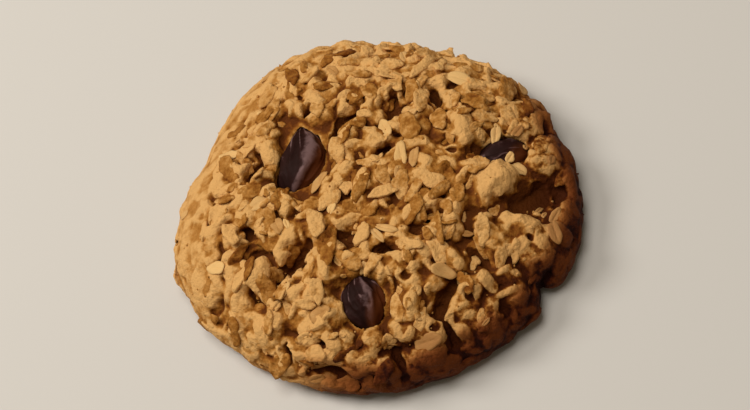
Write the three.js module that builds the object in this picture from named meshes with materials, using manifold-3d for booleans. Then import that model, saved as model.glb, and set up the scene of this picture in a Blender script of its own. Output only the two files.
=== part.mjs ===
// Oatmeal raisin cookie: a thick, domed, hand-dropped cookie lying on its flat baked base.
// Millimetres, +Z up. The origin is the middle of the base, on the surface that the cookie lies on.
// Turns are in degrees, counted from +X towards +Y as seen from above.
import * as THREE from 'three';
import { mergeVertices } from 'three/addons/utils/BufferGeometryUtils.js';
import Module from 'manifold-3d';

const wasm = await Module();
wasm.setup();

// Driving dimensions of the dough
const MEAN_RADIUS = 39.9;
const CROWN_HEIGHT = 16.5;
const WIDEST_HEIGHT = 4;
const BASE_SHARE = 0.93;
const DOME_FULLNESS = 2.6;

// The outline is a circle with slow lobes, as hand-dropped dough bakes, and a few sharp inlets.
const RIM_LOBES = [
  { waves: 2, rise: 1.5, peak: 161 },
  { waves: 3, rise: 0.9, peak: 105 },
  { waves: 4, rise: 0.7, peak: 19 },
  { waves: 5, rise: 0.5, peak: 50 },
];
const RIM_INLETS = [
  { at: 331, spread: 4, depth: 2.2 },
  { at: 88, spread: 6, depth: 1.3 },
  { at: 20, spread: 6, depth: 1.0 },
  { at: 163, spread: 8, depth: 0.8 },
  { at: 64, spread: 9, depth: 0.8 },
];

// The dough sits a little inside the smooth dome, and clumps of oats and dough stand out of it.
const DOUGH_INSET = 1.3;
const CLUMP_COUNT = 300;
const CLUMP_SEED = 11;
const CLUMP_LONG = [2.5, 4.4];
const CLUMP_WIDE_SHARE = [0.6, 0.95];
const CLUMP_HIGH = [1.4, 2.4];
const CLUMP_SINK = [0.7, 1.3];
const CLUMP_JITTER = 1.1;

// The side towards +Y and -X spread thin and baked smooth, and so did the foot of the wall.
const SMOOTH_TURN = 166;
const SMOOTH_SPREAD = 62;
const SMOOTH_FROM_SHARE = 0.66;
const SMOOTH_TO_SHARE = 0.9;
const SMOOTH_RELIEF = 0.24;
const WALL_RELIEF = 0.75;
const FOOT_FADE = 2.2;

// Large lumps: place, half length, half width, height above the dome and the turn of the long axis.
const LUMP_SINK = 1.2;
const LUMPS = [
  { x: 27, y: -0.5, long: 5.0, wide: 3.8, high: 2.4, turn: 44 },
  { x: -18, y: -29, long: 4.4, wide: 3.2, high: 1.2, turn: 22 },
  { x: -10, y: 22, long: 4.0, wide: 3.0, high: 1.3, turn: 98 },
  { x: -3, y: 10, long: 5.6, wide: 2.3, high: 1.7, turn: 58 },
  { x: -19.5, y: 9, long: 4.6, wide: 2.2, high: 1.7, turn: 112 },
  { x: -11.5, y: -23, long: 4.2, wide: 2.3, high: 1.5, turn: 130 },
  { x: -6, y: -19, long: 4.4, wide: 3.0, high: 1.2, turn: 144 },
  { x: 20, y: 12, long: 5.8, wide: 2.8, high: 1.6, turn: 96 },
  { x: 17, y: -10, long: 5.2, wide: 2.4, high: 1.6, turn: 46 },
  { x: 10, y: -17, long: 5.2, wide: 2.4, high: 1.5, turn: 46 },
  { x: 11, y: 22, long: 6.0, wide: 1.9, high: 1.6, turn: 77 },
  { x: 23.5, y: -22, long: 5.0, wide: 2.2, high: 1.4, turn: 42 },
  { x: 32, y: -9, long: 4.0, wide: 2.4, high: 1.4, turn: 153 },
  { x: -4, y: -33, long: 3.8, wide: 2.8, high: 1.3, turn: 36 },
  { x: 37, y: 9, long: 3.6, wide: 2.4, high: 1.2, turn: 100 },
];

// Crevices and hollows: place, half length, half width, depth below the dough and turn.
const HOLLOWS = [
  { x: -4, y: 14.5, long: 4.6, wide: 1.6, deep: 2.6, turn: 51 },
  { x: -12.5, y: 18.5, long: 1.4, wide: 1.1, deep: 1.8, turn: 106 },
  { x: -22.5, y: 6, long: 3.6, wide: 1.4, deep: 2.0, turn: 67 },
  { x: -23, y: -9, long: 2.4, wide: 1.4, deep: 1.4, turn: 163 },
  { x: -20.5, y: -14, long: 2.8, wide: 1.6, deep: 1.7, turn: 14 },
  { x: -12.5, y: -16.5, long: 5.4, wide: 1.5, deep: 2.4, turn: 51 },
  { x: -2, y: -11.5, long: 2.6, wide: 1.6, deep: 1.6, turn: 25 },
  { x: 6.5, y: -15, long: 2.6, wide: 1.2, deep: 1.6, turn: 14 },
  { x: 14, y: -8.5, long: 1.3, wide: 1.0, deep: 2.2, turn: 42 },
  { x: -29, y: -23, long: 2.2, wide: 1.1, deep: 1.4, turn: 48 },
  { x: -20, y: -23, long: 3.4, wide: 1.2, deep: 1.4, turn: 124 },
  { x: -13.5, y: -32.5, long: 2.4, wide: 1.1, deep: 1.8, turn: 87 },
  { x: -5, y: -37, long: 3.6, wide: 1.4, deep: 1.6, turn: 164 },
  { x: 19, y: -31.5, long: 3.8, wide: 1.4, deep: 2.2, turn: 109 },
  { x: 14, y: 19, long: 4.6, wide: 1.7, deep: 1.9, turn: 111 },
  { x: 6.5, y: 17, long: 3.0, wide: 1.7, deep: 1.7, turn: 49 },
  { x: 5, y: 7, long: 2.8, wide: 1.2, deep: 1.6, turn: 31 },
  { x: 34.3, y: -3.4, long: 6.8, wide: 3.6, deep: 2.8, turn: 27 },
  { x: 17.5, y: -25.5, long: 4.6, wide: 1.8, deep: 2.0, turn: 58 },
  { x: 8, y: -35.5, long: 2.8, wide: 1.6, deep: 1.8, turn: 106 },
  { x: 24.5, y: -16.5, long: 3.0, wide: 1.2, deep: 1.4, turn: 145 },
  { x: 30, y: 21, long: 2.0, wide: 1.4, deep: 1.6, turn: 40 },
  { x: 28.2, y: 7.3, long: 5.4, wide: 2.2, deep: 2.4, turn: 12 },
];

// Raisins: place, half sizes, turn of the long axis, sink of the middle below the dome, the width of
// the mouth that the dough leaves open as a share of the raisin's.
const RAISIN_NAMES = ['raisin_upper_left', 'raisin_lower', 'raisin_right'];
const RAISINS = [
  { x: -12.9, y: 7.6, long: 8.3, wide: 5.0, high: 3.8, turn: 88, sink: 2.9, mouth: 0.94 },
  { x: 2, y: -25, long: 5.8, wide: 4.3, high: 3.4, turn: 106, sink: 2.5, mouth: 0.94 },
  { x: 28.8, y: 7.3, long: 5.3, wide: 3.8, high: 3.1, turn: 12, sink: 3.1, mouth: 0.74 },
];

// The raisins' folds, in the same order: where they start round it, how they slant, how far the ends
// bend to one side of the middle, and how much slimmer the first end is than the middle
const RAISIN_FOLDS = [
  { start: 3.9, slant: -1.7, bend: 2.2, taper: 0.32 },
  { start: 5, slant: 1.7, bend: 0, taper: 0 },
  { start: 8, slant: 1.7, bend: 0, taper: 0 },
];
const RAISIN_DETAIL = 4;
const RAISIN_POINT = 0.58;
const BEND_MIDDLE = 0.3;
const WRINKLE_FOLDS = 5;
const WRINKLE_DEPTH = 0.09;
const CROSS_SLANT = 3.1;
const CROSS_SHARE = 0.3;
const POCKET_GAP = 0.35;
const MOUTH_LIFT = 2.2;
const RAISIN_REACH = 6;
const CLUMP_OFF_RAISIN = 2.4;

// Rolled oats that lie on the surface: their dished top, their narrower underside and how they lie
const FLAKE_THICK = 0.9;
const FLAKE_DISH = 0.18;
const FLAKE_UNDER_SHARE = 0.92;
const FLAKE_SIDES = 8;
const FLAKE_SINK = 0.2;
const FLAKE_TILT = 6;

// An oat rests on what the crust rises to under its middle and, at this share of its half sizes, under
// its ends and its sides. It leans no further than REST_TILT, and near the rim it lies along the shell.
const REST_SHARE = 0.7;
const REST_TILT = 15;
const REST_RIM_SHARE = 0.93;

// The bare flakes that stand out: place, half length, half width and turn of the long axis
const CLEAR_FLAKES = [
  { x: 4.9, y: -12.5, long: 2.0, wide: 0.8, turn: 131 },
  { x: 6.5, y: -10.8, long: 2.8, wide: 0.8, turn: 155 },
  { x: 18.5, y: 23.5, long: 2.9, wide: 1.7, turn: 163 },
  { x: -8.5, y: 1.2, long: 2.8, wide: 1.0, turn: 58 },
  { x: 4.7, y: 11.5, long: 2.6, wide: 1.3, turn: 116 },
  { x: 8.3, y: 5, long: 2.8, wide: 1.3, turn: 98 },
  { x: 11.5, y: 4.5, long: 2.7, wide: 1.1, turn: 89 },
  { x: 26.6, y: 10.4, long: 2.4, wide: 1.0, turn: 88 },
  { x: 31.8, y: 3.3, long: 2.0, wide: 1.3, turn: 143 },
  { x: 37.5, y: -10.8, long: 2.5, wide: 1.2, turn: 114 },
  { x: -15.2, y: -9, long: 2.3, wide: 1.2, turn: 121 },
  { x: -5.7, y: -27, long: 2.3, wide: 1.6, turn: 23 },
  { x: 17.5, y: -20, long: 2.6, wide: 1.4, turn: 162 },
  { x: 14, y: -32.5, long: 2.8, wide: 1.8, turn: 12 },
];

// The oats coated in dough that stand out, given the same way
const COATED_OATS = [
  { x: -4.5, y: 29.5, long: 2.9, wide: 1.1, turn: 5 },
  { x: -1.5, y: 25, long: 2.4, wide: 1.1, turn: 9 },
  { x: 1, y: 21, long: 2.5, wide: 1.5, turn: 128 },
  { x: 11, y: 26.5, long: 3.6, wide: 1.2, turn: 61 },
  { x: 9.5, y: 20.5, long: 3.8, wide: 1.3, turn: 100 },
  { x: 10, y: 11, long: 3.0, wide: 2.1, turn: 118 },
  { x: -3, y: 13, long: 2.9, wide: 1.2, turn: 61 },
  { x: -4.5, y: 7, long: 3.3, wide: 1.6, turn: 105 },
  { x: 23.5, y: 19.5, long: 2.4, wide: 1.4, turn: 156 },
  { x: 27.5, y: 22, long: 3.2, wide: 1.9, turn: 88 },
  { x: 28.5, y: 14.5, long: 3.0, wide: 1.6, turn: 101 },
  { x: 34.8, y: 8.5, long: 3.4, wide: 1.5, turn: 76 },
  { x: 5.5, y: -3.5, long: 3.2, wide: 1.3, turn: 14 },
  { x: 2.5, y: -7, long: 1.9, wide: 1.3, turn: 17 },
  { x: 0.5, y: -2.5, long: 3.1, wide: 1.3, turn: 72 },
  { x: 5, y: 0.5, long: 3.0, wide: 1.4, turn: 112 },
  { x: 11.5, y: -3.5, long: 2.6, wide: 1.2, turn: 71 },
  { x: 16.5, y: -3.5, long: 2.8, wide: 1.2, turn: 52 },
  { x: 1.5, y: -12, long: 2.8, wide: 1.3, turn: 65 },
  { x: 25, y: -11.5, long: 3.0, wide: 1.3, turn: 92 },
  { x: 28, y: -16.5, long: 2.4, wide: 1.1, turn: 80 },
  { x: 8.5, y: -26, long: 2.9, wide: 1.2, turn: 100 },
  { x: -17.5, y: -12, long: 3.4, wide: 1.4, turn: 166 },
  { x: -18.5, y: -6.5, long: 3.8, wide: 1.9, turn: 107 },
  { x: -7.5, y: -9, long: 3.0, wide: 1.8, turn: 109 },
  { x: -28, y: 6, long: 3.8, wide: 1.9, turn: 118 },
];

// The other oats are spread evenly from the crown down to this share of the profile, but not where the
// crust is smoother than a least roughness, nor at the rim in one of its inlets.
const FLAKE_TRIES = 66;
const FLAKE_REACH = 0.86;
const FLAKE_SEED = 29;
const FLAKE_JITTER = 0.05;
const FLAKE_LONG = [2.1, 3.1];
const FLAKE_WIDE_SHARE = [0.4, 0.62];
const FLAKE_ROOM = 2.2;
const FLAKE_ROUGHNESS = 0.6;
const INLET_SHARE = 0.9;

// How close to a lump or a hollow, as a share of its half sizes, a clump or an oat may lie
const CLUMP_OFF_LUMP = 0.8;
const CLUMP_OFF_HOLLOW = 1.1;
const FLAKE_OFF_HOLLOW = 1.2;
const OVAL_REACH = 1.3;

// Sizes in the mesh: the triangles on the dough, and the finest distances that are kept
const RING_STEP = 1.9;
const FEWEST_IN_RING = 6;
const LOWEST_CRUST = 0.1;
const FINEST_SIZE = 0.05;
const MERGE_DISTANCE = 1e-4;
const PROFILE_SAMPLES = 400;

// The shell's directions are taken a little off its crown and inside its rim.
const LEAST_FALL = 0.05;
const RIM_SHARE = 0.999;
const LEAST_ALONG = 0.2;

const FULL_TURN = 2 * Math.PI;
const GOLDEN_TURN = Math.PI * (3 - Math.sqrt(5));
const UP = new THREE.Vector3(0, 0, 1);

const radians = THREE.MathUtils.degToRad;

// Mulberry32: the same seed always gives the same run of numbers from 0 to 1.
function seededDraws(seed) {
  let state = seed;
  return () => {
    state = (state + 0x6d2b79f5) | 0;
    let mixed = Math.imul(state ^ (state >>> 15), 1 | state);
    mixed = (mixed + Math.imul(mixed ^ (mixed >>> 7), 61 | mixed)) ^ mixed;
    return ((mixed ^ (mixed >>> 14)) >>> 0) / 4294967296;
  };
}

function between(range, share) {
  return range[0] + (range[1] - range[0]) * share;
}

// The difference of two angles, between minus half a turn and half a turn
function turnBetween(one, other) {
  return THREE.MathUtils.euclideanModulo(one - other + Math.PI, FULL_TURN) - Math.PI;
}

function rimRadius(turn) {
  let radius = MEAN_RADIUS;
  for (const { waves, rise, peak } of RIM_LOBES) radius += rise * Math.cos(waves * (turn - radians(peak)));
  for (const { at, spread, depth } of RIM_INLETS) {
    const off = turnBetween(turn, radians(at)) / radians(spread);
    radius -= depth * Math.exp(-off * off);
  }
  return radius;
}

// A point of the smooth shell. The fall runs from 0 at the crown, through a quarter turn at the
// widest line, to half a turn at the edge of the base.
function shellPoint(fall, turn) {
  const radius = rimRadius(turn);
  const onDome = fall <= Math.PI / 2;
  const share = onDome
    ? Math.sin(fall) ** (2 / DOME_FULLNESS)
    : BASE_SHARE + (1 - BASE_SHARE) * Math.sin(fall);
  const height = onDome
    ? WIDEST_HEIGHT + (CROWN_HEIGHT - WIDEST_HEIGHT) * Math.cos(fall)
    : WIDEST_HEIGHT * (1 + Math.cos(fall));
  return new THREE.Vector3(radius * share * Math.cos(turn), radius * share * Math.sin(turn), height);
}

// The outward normal of the smooth shell, from two short steps on it
function shellNormal(fall, turn) {
  const step = 1e-3;
  const safeFall = Math.max(fall, LEAST_FALL);
  const down = shellPoint(safeFall + step, turn).sub(shellPoint(safeFall - step, turn));
  const round = shellPoint(safeFall, turn + step).sub(shellPoint(safeFall, turn - step));
  return down.cross(round).normalize();
}

// The shell above a place in the plan: its point, its normal and two directions along it
function shellFrameAt(x, y, turnDegrees) {
  const turn = Math.atan2(y, x);
  const share = Math.min(Math.hypot(x, y) / rimRadius(turn), RIM_SHARE);
  return shellFrame(Math.asin(share ** (DOME_FULLNESS / 2)), turn, radians(turnDegrees));
}

function shellFrame(fall, turn, heading) {
  const point = shellPoint(fall, turn);
  const normal = shellNormal(fall, turn);
  const along = new THREE.Vector3(Math.cos(heading), Math.sin(heading), 0);
  along.addScaledVector(normal, -along.dot(normal));
  if (along.length() < LEAST_ALONG) along.crossVectors(normal, UP);
  along.normalize();
  const across = new THREE.Vector3().crossVectors(normal, along);
  return { point, normal, along, across };
}

// Falls at even steps along the shell's profile, from the crown to the edge of the base
function evenFalls(steps) {
  const lengths = [0];
  let last = shellPoint(0, 0);
  for (let i = 1; i <= PROFILE_SAMPLES; i++) {
    const next = shellPoint((Math.PI * i) / PROFILE_SAMPLES, 0);
    lengths.push(lengths[i - 1] + next.distanceTo(last));
    last = next;
  }
  const falls = [];
  let i = 0;
  for (let k = 0; k <= steps; k++) {
    const wanted = (lengths[PROFILE_SAMPLES] * k) / steps;
    while (i < PROFILE_SAMPLES - 1 && lengths[i + 1] < wanted) i++;
    const share = (wanted - lengths[i]) / (lengths[i + 1] - lengths[i]);
    falls.push((Math.PI * (i + share)) / PROFILE_SAMPLES);
  }
  return falls;
}

const PROFILE_LENGTH = (() => {
  let total = 0;
  let last = shellPoint(0, 0);
  for (const fall of evenFalls(PROFILE_SAMPLES)) {
    const next = shellPoint(fall, 0);
    total += next.distanceTo(last);
    last = next;
  }
  return total;
})();

// How far a point lies from the middle of the plan: 0 there and 1 at the rim
function rimShare(point) {
  return Math.hypot(point.x, point.y) / rimRadius(Math.atan2(point.y, point.x));
}

// Whether a point lies at the rim in one of its inlets
function inInlet(point) {
  const turn = Math.atan2(point.y, point.x);
  const covers = ({ at, spread }) => Math.abs(turnBetween(turn, radians(at))) < radians(spread);
  return rimShare(point) > INLET_SHARE && RIM_INLETS.some(covers);
}

// How far a point lies from an oval's middle: 0 there and 1 on its edge
function ovalShare(oval, point) {
  const away = new THREE.Vector3().subVectors(point, oval.point);
  if (away.length() > OVAL_REACH * oval.long) return Infinity;
  return Math.hypot(away.dot(oval.along) / oval.long, away.dot(oval.across) / oval.wide);
}

function onShell(row) {
  return { ...row, ...shellFrameAt(row.x, row.y, row.turn) };
}

const hollows = HOLLOWS.map(onShell);
const raisins = RAISINS.map((row, i) => {
  const raisin = { name: RAISIN_NAMES[i], ...RAISIN_FOLDS[i], ...onShell(row) };
  raisin.middle = raisin.point.clone().addScaledVector(raisin.normal, -raisin.sink);
  return raisin;
});

// Whether a point lies over a raisin's mouth, or within so many millimetres of its edge
function nearRaisin(point, room) {
  return raisins.some((raisin) => {
    const away = new THREE.Vector3().subVectors(point, raisin.middle);
    const along = away.dot(raisin.along) / (raisin.long * raisin.mouth + room);
    const across = away.dot(raisin.across) / (raisin.wide * raisin.mouth + room);
    return Math.hypot(along, across) < 1 && Math.abs(away.dot(raisin.normal)) < RAISIN_REACH;
  });
}

// The large lumps first, then clumps spread evenly over the shell from the crown to the base
function makeClumps() {
  const lumps = LUMPS.map((lump) => ({ ...onShell(lump), high: lump.high + LUMP_SINK, sink: LUMP_SINK }));
  const draw = seededDraws(CLUMP_SEED);
  const falls = evenFalls(CLUMP_COUNT);
  const scattered = [];
  for (let i = 0; i < CLUMP_COUNT; i++) {
    const reach = Math.sqrt((i + 0.5) / CLUMP_COUNT) + ((draw() - 0.5) * CLUMP_JITTER) / PROFILE_LENGTH;
    const fall = falls[Math.min(CLUMP_COUNT, Math.round(Math.min(1, Math.max(0, reach)) * CLUMP_COUNT))];
    const turn = i * GOLDEN_TURN + ((draw() - 0.5) * CLUMP_JITTER) / MEAN_RADIUS;
    const long = between(CLUMP_LONG, draw());
    const wide = long * between(CLUMP_WIDE_SHARE, draw());
    const high = between(CLUMP_HIGH, draw());
    const sink = between(CLUMP_SINK, draw());
    const clump = { long, wide, high, sink, ...shellFrame(fall, turn, draw() * FULL_TURN) };
    const inLump = lumps.some((lump) => ovalShare(lump, clump.point) < CLUMP_OFF_LUMP);
    const inHollow = hollows.some((hollow) => ovalShare(hollow, clump.point) < CLUMP_OFF_HOLLOW);
    if (!inLump && !inHollow && !nearRaisin(clump.point, CLUMP_OFF_RAISIN)) scattered.push(clump);
  }
  return [...lumps, ...scattered];
}

const clumps = makeClumps();

function smoothShare(from, to, value) {
  return THREE.MathUtils.smoothstep(value, from, to);
}

// How rough the crust is at a point of the shell, from 0 to 1
function roughness(point) {
  const turn = Math.atan2(point.y, point.x);
  const off = turnBetween(turn, radians(SMOOTH_TURN)) / radians(SMOOTH_SPREAD);
  const outer = smoothShare(SMOOTH_FROM_SHARE, SMOOTH_TO_SHARE, rimShare(point));
  const smoothSide = outer * Math.exp(-(off ** 4));
  const wall = 1 - smoothShare(WIDEST_HEIGHT, WIDEST_HEIGHT * 2, point.z);
  const foot = smoothShare(0, FOOT_FADE, point.z);
  return (1 - (1 - SMOOTH_RELIEF) * smoothSide) * (1 - (1 - WALL_RELIEF) * wall) * foot;
}

// How far the crust stands out of the smooth shell at one of its points, less than 0 in a hollow
function reliefAt(point) {
  let relief = -DOUGH_INSET;
  for (const clump of clumps) {
    const share = ovalShare(clump, point);
    if (share >= 1) continue;
    const drop = new THREE.Vector3().subVectors(point, clump.point).dot(clump.normal);
    relief = Math.max(relief, clump.high * Math.sqrt(1 - share * share) - clump.sink - drop);
  }
  for (const hollow of hollows) {
    const share = ovalShare(hollow, point);
    if (share < 1) relief -= hollow.deep * Math.sqrt(1 - share * share);
  }
  return relief * roughness(point);
}

// Triangles between two rings whose points run the same way round and both start at turn 0
function stitchRings(index, innerStart, innerCount, outerStart, outerCount) {
  let inner = 0;
  let outer = 0;
  while (inner < innerCount || outer < outerCount) {
    const a = innerStart + (inner % innerCount);
    const b = outerStart + (outer % outerCount);
    const outerIsNext = (outer + 1) * innerCount <= (inner + 1) * outerCount;
    if (inner >= innerCount || (outer < outerCount && outerIsNext)) {
      outer++;
      index.push(a, b, outerStart + (outer % outerCount));
    } else {
      inner++;
      index.push(a, b, innerStart + (inner % innerCount));
    }
  }
}

// The craggy dough: rings of points pushed out along the shell's normal, closed by the flat base
function doughGeometry() {
  const ringCount = Math.round(PROFILE_LENGTH / RING_STEP);
  const falls = evenFalls(ringCount);
  const positions = [];
  const index = [];
  const crown = shellPoint(0, 0);
  crown.z += reliefAt(crown);
  positions.push(...crown.toArray());
  let ringStart = 0;
  let ringSize = 1;
  for (let k = 1; k <= ringCount; k++) {
    const girth = FULL_TURN * shellPoint(falls[k], 0).x;
    const size = Math.max(FEWEST_IN_RING, Math.round(girth / RING_STEP));
    const start = positions.length / 3;
    for (let i = 0; i < size; i++) {
      const turn = (FULL_TURN * i) / size;
      const point = shellPoint(falls[k], turn);
      const lift = k === ringCount ? 0 : reliefAt(point);
      point.addScaledVector(shellNormal(falls[k], turn), lift);
      point.z = k === ringCount ? 0 : Math.max(point.z, LOWEST_CRUST);
      positions.push(...point.toArray());
    }
    if (ringSize === 1) {
      for (let i = 0; i < size; i++) index.push(0, start + i, start + ((i + 1) % size));
    } else {
      stitchRings(index, ringStart, ringSize, start, size);
    }
    ringStart = start;
    ringSize = size;
  }
  const middle = positions.length / 3;
  positions.push(0, 0, 0);
  for (let i = 0; i < ringSize; i++) index.push(middle, ringStart + ((i + 1) % ringSize), ringStart + i);
  return indexedGeometry(positions, index);
}

function indexedGeometry(positions, index) {
  const geometry = new THREE.BufferGeometry();
  geometry.setAttribute('position', new THREE.Float32BufferAttribute(positions, 3));
  geometry.setIndex(index);
  return geometry;
}

// One rolled oat: an oval chip with eight sides, its top slightly dished
function flakeGeometry(long, wide) {
  const half = FLAKE_THICK / 2;
  const positions = [0, 0, half - FLAKE_DISH, 0, 0, -half];
  const index = [];
  for (let i = 0; i < FLAKE_SIDES; i++) {
    const turn = (FULL_TURN * (i + 0.5)) / FLAKE_SIDES;
    const x = long * Math.cos(turn);
    const y = wide * Math.sin(turn);
    positions.push(x, y, half, x * FLAKE_UNDER_SHARE, y * FLAKE_UNDER_SHARE, -half);
  }
  for (let i = 0; i < FLAKE_SIDES; i++) {
    const top = 2 + 2 * i;
    const nextTop = 2 + 2 * ((i + 1) % FLAKE_SIDES);
    index.push(0, top, nextTop);
    index.push(1, nextTop + 1, top + 1);
    index.push(top, top + 1, nextTop + 1);
    index.push(top, nextTop + 1, nextTop);
  }
  return indexedGeometry(positions, index);
}

// How far the crust stands out along an oat's normal, at an offset from the oat's middle
function crustLift(flake, offset) {
  const { x, y } = new THREE.Vector3().addVectors(flake.point, offset);
  const spot = shellFrameAt(x, y, 0).point;
  return new THREE.Vector3().subVectors(spot, flake.point).dot(flake.normal) + reliefAt(spot);
}

// How an oat rests on the crust: how far out its middle lies, and its roll and pitch
function restOf(flake) {
  const { point, along, across } = flake;
  const lift = reliefAt(point);
  if (rimShare(point) > REST_RIM_SHARE) return { lift, roll: 0, pitch: 0 };
  const lean = (direction, half) => {
    const reach = direction.clone().multiplyScalar(half * REST_SHARE);
    const ahead = crustLift(flake, reach);
    const behind = crustLift(flake, reach.clone().negate());
    const most = radians(REST_TILT);
    const angle = THREE.MathUtils.clamp(Math.atan((ahead - behind) / (2 * reach.length())), -most, most);
    return { height: (ahead + behind) / 2, angle };
  };
  const ends = lean(along, flake.long);
  const sides = lean(across, flake.wide);
  return { lift: Math.max(lift, ends.height, sides.height), roll: sides.angle, pitch: -ends.angle };
}

// An oat on the crust, tilted a little more by chance
function placedFlake(flake) {
  const { point, normal, along, across } = flake;
  const rest = restOf(flake);
  const middle = point.clone().addScaledVector(normal, rest.lift - FLAKE_SINK);
  const place = new THREE.Matrix4().makeBasis(along, across, normal).setPosition(middle);
  const turn = new THREE.Euler(rest.roll + flake.roll, rest.pitch + flake.pitch, 0);
  const tilt = new THREE.Matrix4().makeRotationFromEuler(turn);
  return flakeGeometry(flake.long, flake.wide).applyMatrix4(place.multiply(tilt));
}

// The oats: those that stand out, then the rest spread evenly, away from raisins, hollows and each other.
// None of the rest lies on the smooth side or in an inlet.
function chooseFlakes() {
  const draw = seededDraws(FLAKE_SEED);
  const tilt = () => radians(FLAKE_TILT) * (2 * draw() - 1);
  const shown = [...CLEAR_FLAKES, ...COATED_OATS];
  const flakes = shown.map((flake) => ({ ...onShell(flake), roll: tilt(), pitch: tilt() }));
  const falls = evenFalls(FLAKE_TRIES);
  for (let i = 0; i < FLAKE_TRIES; i++) {
    const fall = falls[Math.round(Math.sqrt((i + 0.5) / FLAKE_TRIES) * FLAKE_TRIES * FLAKE_REACH)];
    const turn = i * GOLDEN_TURN + draw() * FLAKE_JITTER;
    const long = between(FLAKE_LONG, draw());
    const wide = long * between(FLAKE_WIDE_SHARE, draw());
    const flake = { long, wide, ...shellFrame(fall, turn, draw() * FULL_TURN), roll: tilt(), pitch: tilt() };
    const nearFlake = flakes.some((other) => other.point.distanceTo(flake.point) < FLAKE_ROOM + other.wide);
    const inHollow = hollows.some((hollow) => ovalShare(hollow, flake.point) < FLAKE_OFF_HOLLOW);
    const left = inInlet(flake.point) || roughness(flake.point) < FLAKE_ROUGHNESS;
    if (!nearFlake && !inHollow && !left && !nearRaisin(flake.point, long)) flakes.push(flake);
  }
  return flakes;
}

// A raisin: an oval drawn out to soft points at both ends, with folds along it. The same shape, grown,
// made narrower or lifted along the crust's normal, is what the dough leaves free for it.
function raisinGeometry(raisin, { grow = 0, narrow = 1, lift = 0 } = {}) {
  const geometry = new THREE.IcosahedronGeometry(1, RAISIN_DETAIL);
  geometry.deleteAttribute('normal');
  geometry.deleteAttribute('uv');
  const shape = mergeVertices(geometry, MERGE_DISTANCE);
  const position = shape.getAttribute('position');
  const corner = new THREE.Vector3();
  for (let i = 0; i < position.count; i++) {
    corner.fromBufferAttribute(position, i).normalize();
    const round = Math.atan2(corner.z, corner.y);
    const folds = Math.sin(WRINKLE_FOLDS * round + raisin.slant * corner.x + raisin.start);
    const cross = Math.sin(2 * round - CROSS_SLANT * corner.x + 2 * raisin.start);
    const wrinkle = WRINKLE_DEPTH * folds * (1 - CROSS_SHARE + CROSS_SHARE * cross);
    const girth = (1 - RAISIN_POINT * corner.x ** 4) * (1 - raisin.taper * corner.x) * (1 + wrinkle);
    position.setXYZ(
      i,
      corner.x * (raisin.long * narrow + grow),
      corner.y * (raisin.wide * narrow + grow) * girth + raisin.bend * (corner.x ** 2 - BEND_MIDDLE),
      corner.z * (raisin.high + grow) * girth,
    );
  }
  const { normal, along, across } = raisin;
  const middle = raisin.middle.clone().addScaledVector(normal, lift);
  return shape.applyMatrix4(new THREE.Matrix4().makeBasis(along, across, normal).setPosition(middle));
}

function solidOf(geometry) {
  return new wasm.Manifold(
    new wasm.Mesh({
      numProp: 3,
      vertProperties: new Float32Array(geometry.getAttribute('position').array),
      triVerts: new Uint32Array(geometry.index.array),
      tolerance: FINEST_SIZE,
    }),
  );
}

// The triangles of the largest connected skin. Leaving out the others fills any hollow that the
// flakes seal, and drops any scrap that a cut leaves loose.
function largestSkin(pointCount, index) {
  const leader = Array.from({ length: pointCount }, (_, i) => i);
  const find = (i) => {
    while (leader[i] !== i) {
      leader[i] = leader[leader[i]];
      i = leader[i];
    }
    return i;
  };
  for (let i = 0; i < index.length; i += 3) {
    leader[find(index[i + 1])] = find(index[i]);
    leader[find(index[i + 2])] = find(index[i]);
  }
  const sizes = new Map();
  for (const i of index) sizes.set(find(i), (sizes.get(find(i)) ?? 0) + 1);
  const [largest] = [...sizes].reduce((best, entry) => (entry[1] > best[1] ? entry : best));
  return index.filter((i) => find(i) === largest);
}

function geometryOf(solid) {
  const mesh = solid.getMesh();
  const positions = Array.from(mesh.vertProperties);
  const index = largestSkin(positions.length / 3, Array.from(mesh.triVerts));
  return indexedGeometry(positions, index);
}

// The cookie is the dough with its oats joined on, and a pocket with an open mouth for each raisin.
function cookieGeometry() {
  let cookie = solidOf(doughGeometry());
  for (const flake of chooseFlakes()) cookie = cookie.add(solidOf(placedFlake(flake)));
  for (const raisin of raisins) {
    cookie = cookie.subtract(solidOf(raisinGeometry(raisin, { grow: POCKET_GAP })));
    for (const lift of [MOUTH_LIFT, 2 * MOUTH_LIFT]) {
      cookie = cookie.subtract(solidOf(raisinGeometry(raisin, { narrow: raisin.mouth, lift })));
    }
  }
  return geometryOf(cookie);
}

function namedMesh(name, geometry, color, roughness) {
  const finish = new THREE.MeshStandardMaterial({ color, roughness, metalness: 0, flatShading: true });
  const mesh = new THREE.Mesh(geometry, finish);
  mesh.name = name;
  return mesh;
}

const cookieWithRaisins = new THREE.Group();
cookieWithRaisins.add(namedMesh('cookie', cookieGeometry(), 0xb98a4e, 0.8));
for (const raisin of raisins) {
  cookieWithRaisins.add(namedMesh(raisin.name, raisinGeometry(raisin), 0x2c1512, 0.45));
}

export default cookieWithRaisins;
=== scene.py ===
"""The looks of an oatmeal raisin cookie on a pale table.

The crust is modelled as a block of distances on a fine grid, in millimetres: a smooth dome, clumps of
dough, hollows, and low bits over them. It becomes one mesh, and coated oats, flakes, raisins and crumbs
lie on it. Turns are in degrees from +X towards +Y, as seen from above, and +Z is up.
"""
import math

import bpy
import numpy as np
import openvdb
from mathutils import Matrix, Quaternion, Vector


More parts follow.
